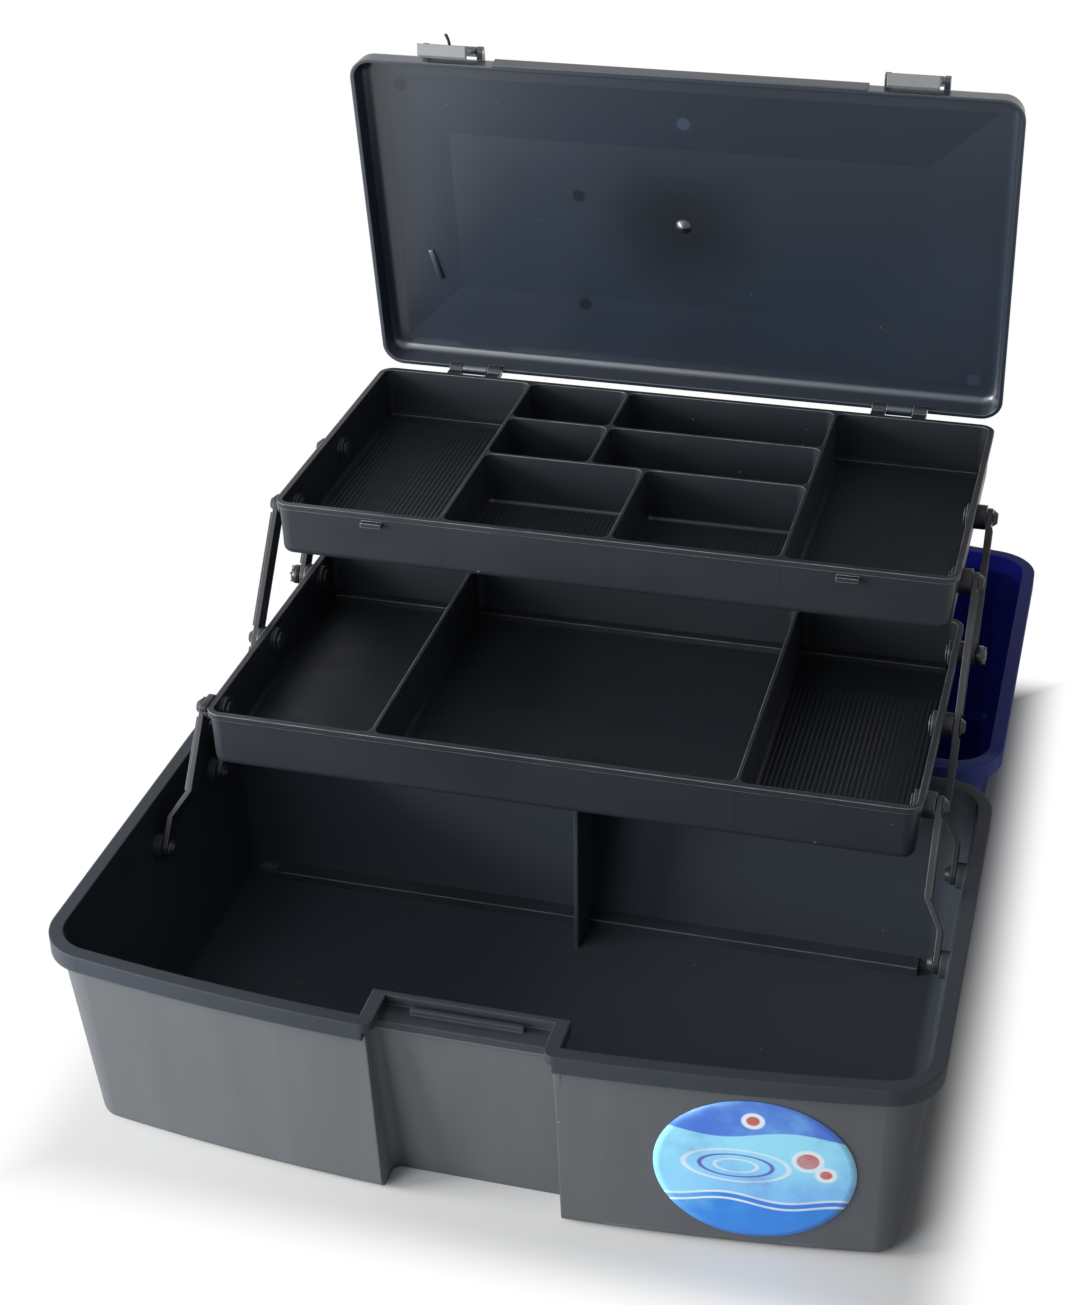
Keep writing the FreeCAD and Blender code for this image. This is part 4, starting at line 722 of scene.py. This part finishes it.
class TACKLE_BOX_OT_link_edges(bpy.types.Operator):
    """Raise the two long edges of every link on its outer face"""
    bl_idname = "tackle_box.link_edges"
    bl_label = "Link Edges"

    def execute(self, context):
        sizes = context.scene.tackle_box_mouldings
        material = bpy.data.materials["link_plastic"]
        short = (MIDDLE_PIVOT - LOW_PIVOT).length
        clear, sunk = 5.6 * MM, 0.2 * MM
        runs = {
            "lower": (FRONT_PIVOT, "lower_links", [(LINK_STRAIGHT, short - clear)]),
            "long": (LOW_PIVOT, "long_links", [(LINK_STRAIGHT, short - clear),
                                               (short + clear, 2 * short - clear)]),
            "upper": (REAR_PIVOT, "upper_links", [(clear, short - clear)]),
        }
        turn = Matrix.Rotation(LINK_ANGLE, 4, "X")
        for word, side in SIDES:
            face = side * (LINK_FACE + (sizes.edge_rise - sunk) / 2)
            for name, (pivot, body, spans) in runs.items():
                shape = bmesh.new()
                for start, end in spans:
                    for edge in (-1, 1):
                        offset = Vector((0, (start + end) / 2, edge * (LINK_HALF - sizes.edge_width / 2)))
                        place = (Matrix.Translation((face, pivot.y, pivot.z)) @ turn
                                 @ Matrix.Translation(offset))
                        add_bar(shape, (sizes.edge_rise + sunk, end - start, sizes.edge_width), place,
                                0.15 * MM, segments=1)
                finished(f"{name}_link_edges_{word}", shape, material, body, smooth=False)
        return {"FINISHED"}


class TACKLE_BOX_OT_pivot_heads(bpy.types.Operator):
    """Put a domed knob on the rear pivot of the middle tray, on both sides"""
    bl_idname = "tackle_box.pivot_heads"
    bl_label = "Pivot Heads"

    def execute(self, context):
        sizes = context.scene.tackle_box_mouldings
        material = knob_plastic(context.scene.tackle_box_colours)
        radius, rise, foot = sizes.knob_radius, sizes.knob_rise, -2.4 * MM
        profile = [(0, foot), (radius * 0.9, foot), (radius, foot + 0.4 * MM), (radius, rise * 0.25),
                   (radius * 0.93, rise * 0.5), (radius * 0.75, rise * 0.78), (radius * 0.45, rise * 0.94),
                   (radius * 0.3, rise), (radius * 0.22, rise * 0.82), (0, rise * 0.8)]
        lobe, lobes = (radius * 0.5, 1.1 * MM, 1.6 * MM), 6
        outwards = Matrix.Translation((radius * 0.72, 0, rise * 0.62))
        for word, side in SIDES:
            shape = bmesh.new()
            place = (Matrix.Translation((side * PIN_HEAD_FACE, REAR_PIVOT.y, REAR_PIVOT.z))
                     @ Matrix.Rotation(side * math.pi / 2, 4, "Y"))
            add_turned(shape, profile, place)
            for step in range(lobes):
                turn = Matrix.Rotation(step * 2 * math.pi / lobes, 4, "Z")
                add_bar(shape, lobe, place @ turn @ outwards, 0.3 * MM)
            finished(f"pivot_knob_{word}", shape, material, "middle_tray")
        return {"FINISHED"}


class TACKLE_BOX_OT_wall_steps(bpy.types.Operator):
    """Run a small step along the foot of every rear wall"""
    bl_idname = "tackle_box.wall_steps"
    bl_label = "Wall Steps"

    def execute(self, context):
        rear = REAR_WALL - WALL - (RIM - 3 * MM) * LEAN - TUB_STEP_GAP
        shape = bmesh.new()
        for left, right in TUB_STEP_HALVES:
            add_bar(shape, (right - left, TUB_STEP_DEPTH, TUB_STEP_HEIGHT),
                    Matrix.Translation(((left + right) / 2, rear, TUB_STEP_LEVEL)), 0.2 * MM, segments=1)
        finished("tub_wall_step", shape, step_plastic(context.scene.tackle_box_colours), "tub",
                 smooth=False)

        sizes = context.scene.tackle_box_mouldings
        sunk = 0.4 * MM
        for name, tray in TRAYS.items():
            low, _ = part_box(name)
            middle = low.y + tray["rear_wall"] * MM - sizes.step_depth / 2
            level = low.z + TRAY_FLOOR + (sizes.step_rise - sunk) / 2
            shape = bmesh.new()
            for left, right in tray["steps"]:
                add_bar(shape, ((right - left) * MM, sizes.step_depth, sizes.step_rise + sunk),
                        Matrix.Translation(((left + right) / 2 * MM, middle, level)), 0.15 * MM, segments=1)
            finished(f"{name}_wall_steps", shape, bpy.data.materials[f"{name}_plastic"], name,
                     smooth=False)
        return {"FINISHED"}


class TACKLE_BOX_OT_cover_marks(bpy.types.Operator):
    """Mould the gate nub and the slanted rib inside the cover"""
    bl_idname = "tackle_box.cover_marks"
    bl_label = "Cover Marks"

    def execute(self, context):
        inwards = Matrix.Rotation(math.pi, 4, "X")
        shape = bmesh.new()
        add_turned(shape, [(radius * MM, level * MM) for radius, level in NUB_PROFILE],
                   COVER_PLACE @ Matrix.Translation(NUB_PLACE) @ inwards)
        add_bar(shape, RIB_SIZE,
                COVER_PLACE @ Matrix.Translation(RIB_PLACE) @ Matrix.Rotation(RIB_TURN, 4, "Z"), 0.6 * MM)
        finished("cover_marks", shape, bpy.data.materials["cover_plastic"], "tray_cover")
        return {"FINISHED"}


class TACKLE_BOX_OT_small_tabs(bpy.types.Operator):
    """Add the curved tongue of the left latch and the ear on the rim of the middle tray"""
    bl_idname = "tackle_box.small_tabs"
    bl_label = "Small Tabs"

    def execute(self, context):
        shape = bmesh.new()
        foot = LATCH_AXIS + Vector(TONGUE_FOOT)
        for step in range(TONGUE_BARS):
            lean = math.radians(TONGUE_FIRST_LEAN + TONGUE_CURL * step)
            drift = -TONGUE_DRIFT * step * step / (TONGUE_BARS - 1)
            place = (Matrix.Translation(foot + Vector((drift, 0, TONGUE_CLIMB * step)))
                     @ Matrix.Rotation(-lean, 4, "Y"))
            add_bar(shape, TONGUE_BAR, place, 0.4 * MM)
        finished("latch_tongue", shape, bpy.data.materials["link_plastic"], "cover_latch_left")

        low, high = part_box("middle_tray")
        shape = bmesh.new()
        add_bar(shape, EAR_SIZE, Matrix.Translation((EAR_SIDE, low.y + EAR_BEHIND, high.z - EAR_SUNK)),
                0.9 * MM, segments=3)
        finished("tray_ear", shape, bpy.data.materials["middle_tray_plastic"], "middle_tray")
        return {"FINISHED"}


class TACKLE_BOX_OT_label(bpy.types.Operator):
    """Stick the oval label on the right half of the tub's front"""
    bl_idname = "tackle_box.label"
    bl_label = "Oval Label"

    def execute(self, context):
        sizes = context.scene.tackle_box_mouldings
        half_width, half_height = sizes.label_half_width, sizes.label_half_height
        rings, spokes = 14, 96
        shape = bmesh.new()
        spots = [shape.verts.new((step / rings, 0.0, 0.0)) for step in range(rings + 1)]
        rims = [shape.edges.new(pair) for pair in zip(spots, spots[1:])]
        bmesh.ops.spin(shape, geom=spots + rims, cent=(0, 0, 0), axis=(0, 1, 0), dvec=(0, 0, 0),
                       angle=2 * math.pi, steps=spokes, use_merge=True, use_duplicate=False)
        bmesh.ops.remove_doubles(shape, verts=shape.verts, dist=0.001 * MM)
        bmesh.ops.scale(shape, vec=(half_width, 1.0, half_height), verts=shape.verts)
        bmesh.ops.translate(shape, vec=LABEL_PLACE, verts=shape.verts)
        for vert in shape.verts:
            wall = FRONT_WALL + vert.co.x ** 2 / (2 * BOW) + (RIM - vert.co.z) * LEAN
            vert.co.y = wall - LABEL_PROUD
        bmesh.ops.recalc_face_normals(shape, faces=shape.faces)
        if sum(face.normal.y for face in shape.faces) > 0:
            bmesh.ops.reverse_faces(shape, faces=shape.faces)
        bmesh.ops.solidify(shape, geom=shape.faces[:], thickness=LABEL_THICKNESS)
        material = label_paint(context.scene.tackle_box_colours, half_width, half_height)
        finished("oval_label", shape, material, "tub")
        return {"FINISHED"}


# Studio


def soft_lamp(name, place, width, height, power, colour):
    """Soft area lamp that looks at the box."""
    data = bpy.data.lights.new(name, "AREA")
    data.shape = "RECTANGLE"
    data.size, data.size_y = width, height
    data.energy = power
    data.color = colour
    lamp = bpy.data.objects.new(name, data)
    lamp.location = place
    lamp.rotation_euler = (Vector(LAMP_AIM) - Vector(place)).to_track_quat("-Z", "Y").to_euler()
    bpy.context.scene.collection.objects.link(lamp)


def floor_paint():
    """Pale floor that fades into white away from the object."""
    material = bpy.data.materials.new("studio_floor")
    material.use_nodes = True
    tree = material.node_tree
    tree.nodes.clear()
    place = add_node(tree, "ShaderNodeTexCoord").outputs["Object"]
    axes = add_node(tree, "ShaderNodeSeparateXYZ", {0: place}).outputs
    away = highest(tree, minus(tree, worked_out(tree, "ABSOLUTE", axes[0]), SHADOW_HALF_X),
                   minus(tree, worked_out(tree, "ABSOLUTE", axes[1]), SHADOW_HALF_Y))
    path = add_node(tree, "ShaderNodeLightPath").outputs
    seen = times(tree, highest(tree, path["Is Camera Ray"], path["Is Transmission Ray"]),
                 ramp(tree, away, start=-0.008, end=0.03))
    mirrored = times(tree, path["Is Glossy Ray"], ramp(tree, away, start=0.03, end=0.25))
    matte = add_node(tree, "ShaderNodeBsdfDiffuse", {"Color": (0.78, 0.78, 0.78, 1), "Roughness": 0.5})
    white = add_node(tree, "ShaderNodeEmission", {"Color": (1, 1, 1, 1), "Strength": 1.0})
    mix = add_node(tree, "ShaderNodeMixShader",
                   {0: highest(tree, seen, mirrored), 1: matte.outputs[0], 2: white.outputs[0]})
    add_node(tree, "ShaderNodeOutputMaterial", {"Surface": mix.outputs[0]})
    return material


def room_world(strength):
    """Even pale room: white where it is seen or mirrored, soft where it lights."""
    world = bpy.data.worlds.new("studio_room")
    world.use_nodes = True
    tree = world.node_tree
    tree.nodes.clear()
    path = add_node(tree, "ShaderNodeLightPath").outputs
    seen = highest(tree, path["Is Camera Ray"], path["Is Glossy Ray"], path["Is Transmission Ray"])
    soft = add_node(tree, "ShaderNodeBackground", {"Color": (0.93, 0.96, 1.0, 1), "Strength": strength})
    white = add_node(tree, "ShaderNodeBackground", {"Color": (1, 1, 1, 1), "Strength": 1.0})
    mix = add_node(tree, "ShaderNodeMixShader", {0: seen, 1: soft.outputs[0], 2: white.outputs[0]})
    add_node(tree, "ShaderNodeOutputWorld", {"Surface": mix.outputs[0]})
    bpy.context.scene.world = world


def studio_camera(lens):
    """Camera at the photograph's place and angle."""
    forward = Vector((-math.sin(CAMERA_YAW) * math.cos(CAMERA_PITCH),
                      math.cos(CAMERA_YAW) * math.cos(CAMERA_PITCH), -math.sin(CAMERA_PITCH)))
    level = Vector((math.cos(CAMERA_YAW), math.sin(CAMERA_YAW), 0.0))
    upright = level.cross(forward)
    right = math.cos(CAMERA_ROLL) * level + math.sin(CAMERA_ROLL) * upright
    up = -math.sin(CAMERA_ROLL) * level + math.cos(CAMERA_ROLL) * upright
    data = bpy.data.cameras.new("studio_camera")
    data.lens = lens
    data.sensor_width = 36
    data.clip_start = 0.01
    camera = bpy.data.objects.new("studio_camera", data)
    turn = Matrix((right, up, -forward)).transposed().to_4x4()
    camera.matrix_world = Matrix.Translation(CAMERA_PLACE) @ turn
    bpy.context.scene.collection.objects.link(camera)
    bpy.context.scene.camera = camera


class TACKLE_BOX_OT_studio(bpy.types.Operator):
    """Set the pale floor, the soft lights and the camera"""
    bl_idname = "tackle_box.studio"
    bl_label = "Studio"

    def execute(self, context):
        studio = context.scene.tackle_box_studio
        shape = bmesh.new()
        bmesh.ops.create_grid(shape, x_segments=4, y_segments=4, size=studio.floor_size / 2)
        bmesh.ops.translate(shape, vec=(0, 0, -FLOOR_DROP), verts=shape.verts)
        mesh = bpy.data.meshes.new("studio_floor")
        shape.to_mesh(mesh)
        shape.free()
        floor = bpy.data.objects.new("studio_floor", mesh)
        mesh.materials.append(floor_paint())
        context.scene.collection.objects.link(floor)
        for name, setting, place, width, height, colour in LAMPS:
            soft_lamp(name, place, width, height, getattr(studio, setting), colour)
        room_world(studio.world_strength)
        studio_camera(studio.lens)
        context.scene.view_settings.view_transform = "Standard"
        return {"FINISHED"}


STEPS = ("finishes", "link_edges", "pivot_heads", "wall_steps", "cover_marks", "small_tabs", "label",
         "studio")


class TACKLE_BOX_PT_panel(bpy.types.Panel):
    """Lists the steps that dress the box"""
    bl_idname = "TACKLE_BOX_PT_panel"
    bl_label = "Tackle Box"
    bl_space_type = "VIEW_3D"
    bl_region_type = "UI"
    bl_category = "Tackle Box"

    def draw(self, context):
        for step in STEPS:
            self.layout.operator(f"tackle_box.{step}")
        for group in (context.scene.tackle_box_colours, context.scene.tackle_box_mouldings,
                      context.scene.tackle_box_studio):
            column = self.layout.column(align=True)
            for name in group.__annotations__:
                column.prop(group, name)


GROUPS = {"tackle_box_colours": TackleBoxColours, "tackle_box_mouldings": TackleBoxMouldings,
          "tackle_box_studio": TackleBoxStudio}
CLASSES = (TackleBoxColours, TackleBoxMouldings, TackleBoxStudio, TACKLE_BOX_OT_finishes,
           TACKLE_BOX_OT_link_edges, TACKLE_BOX_OT_pivot_heads, TACKLE_BOX_OT_wall_steps,
           TACKLE_BOX_OT_cover_marks, TACKLE_BOX_OT_small_tabs, TACKLE_BOX_OT_label, TACKLE_BOX_OT_studio,
           TACKLE_BOX_PT_panel)


def register():
    for group in CLASSES:
        bpy.utils.register_class(group)
    for name, group in GROUPS.items():
        setattr(bpy.types.Scene, name, bpy.props.PointerProperty(type=group))


def unregister():
    for name in GROUPS:
        delattr(bpy.types.Scene, name)
    for group in reversed(CLASSES):
        bpy.utils.unregister_class(group)


def main():
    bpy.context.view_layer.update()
    register()
    for step in STEPS:
        getattr(bpy.ops.tackle_box, step)()


if __name__ == "__main__":
    main()
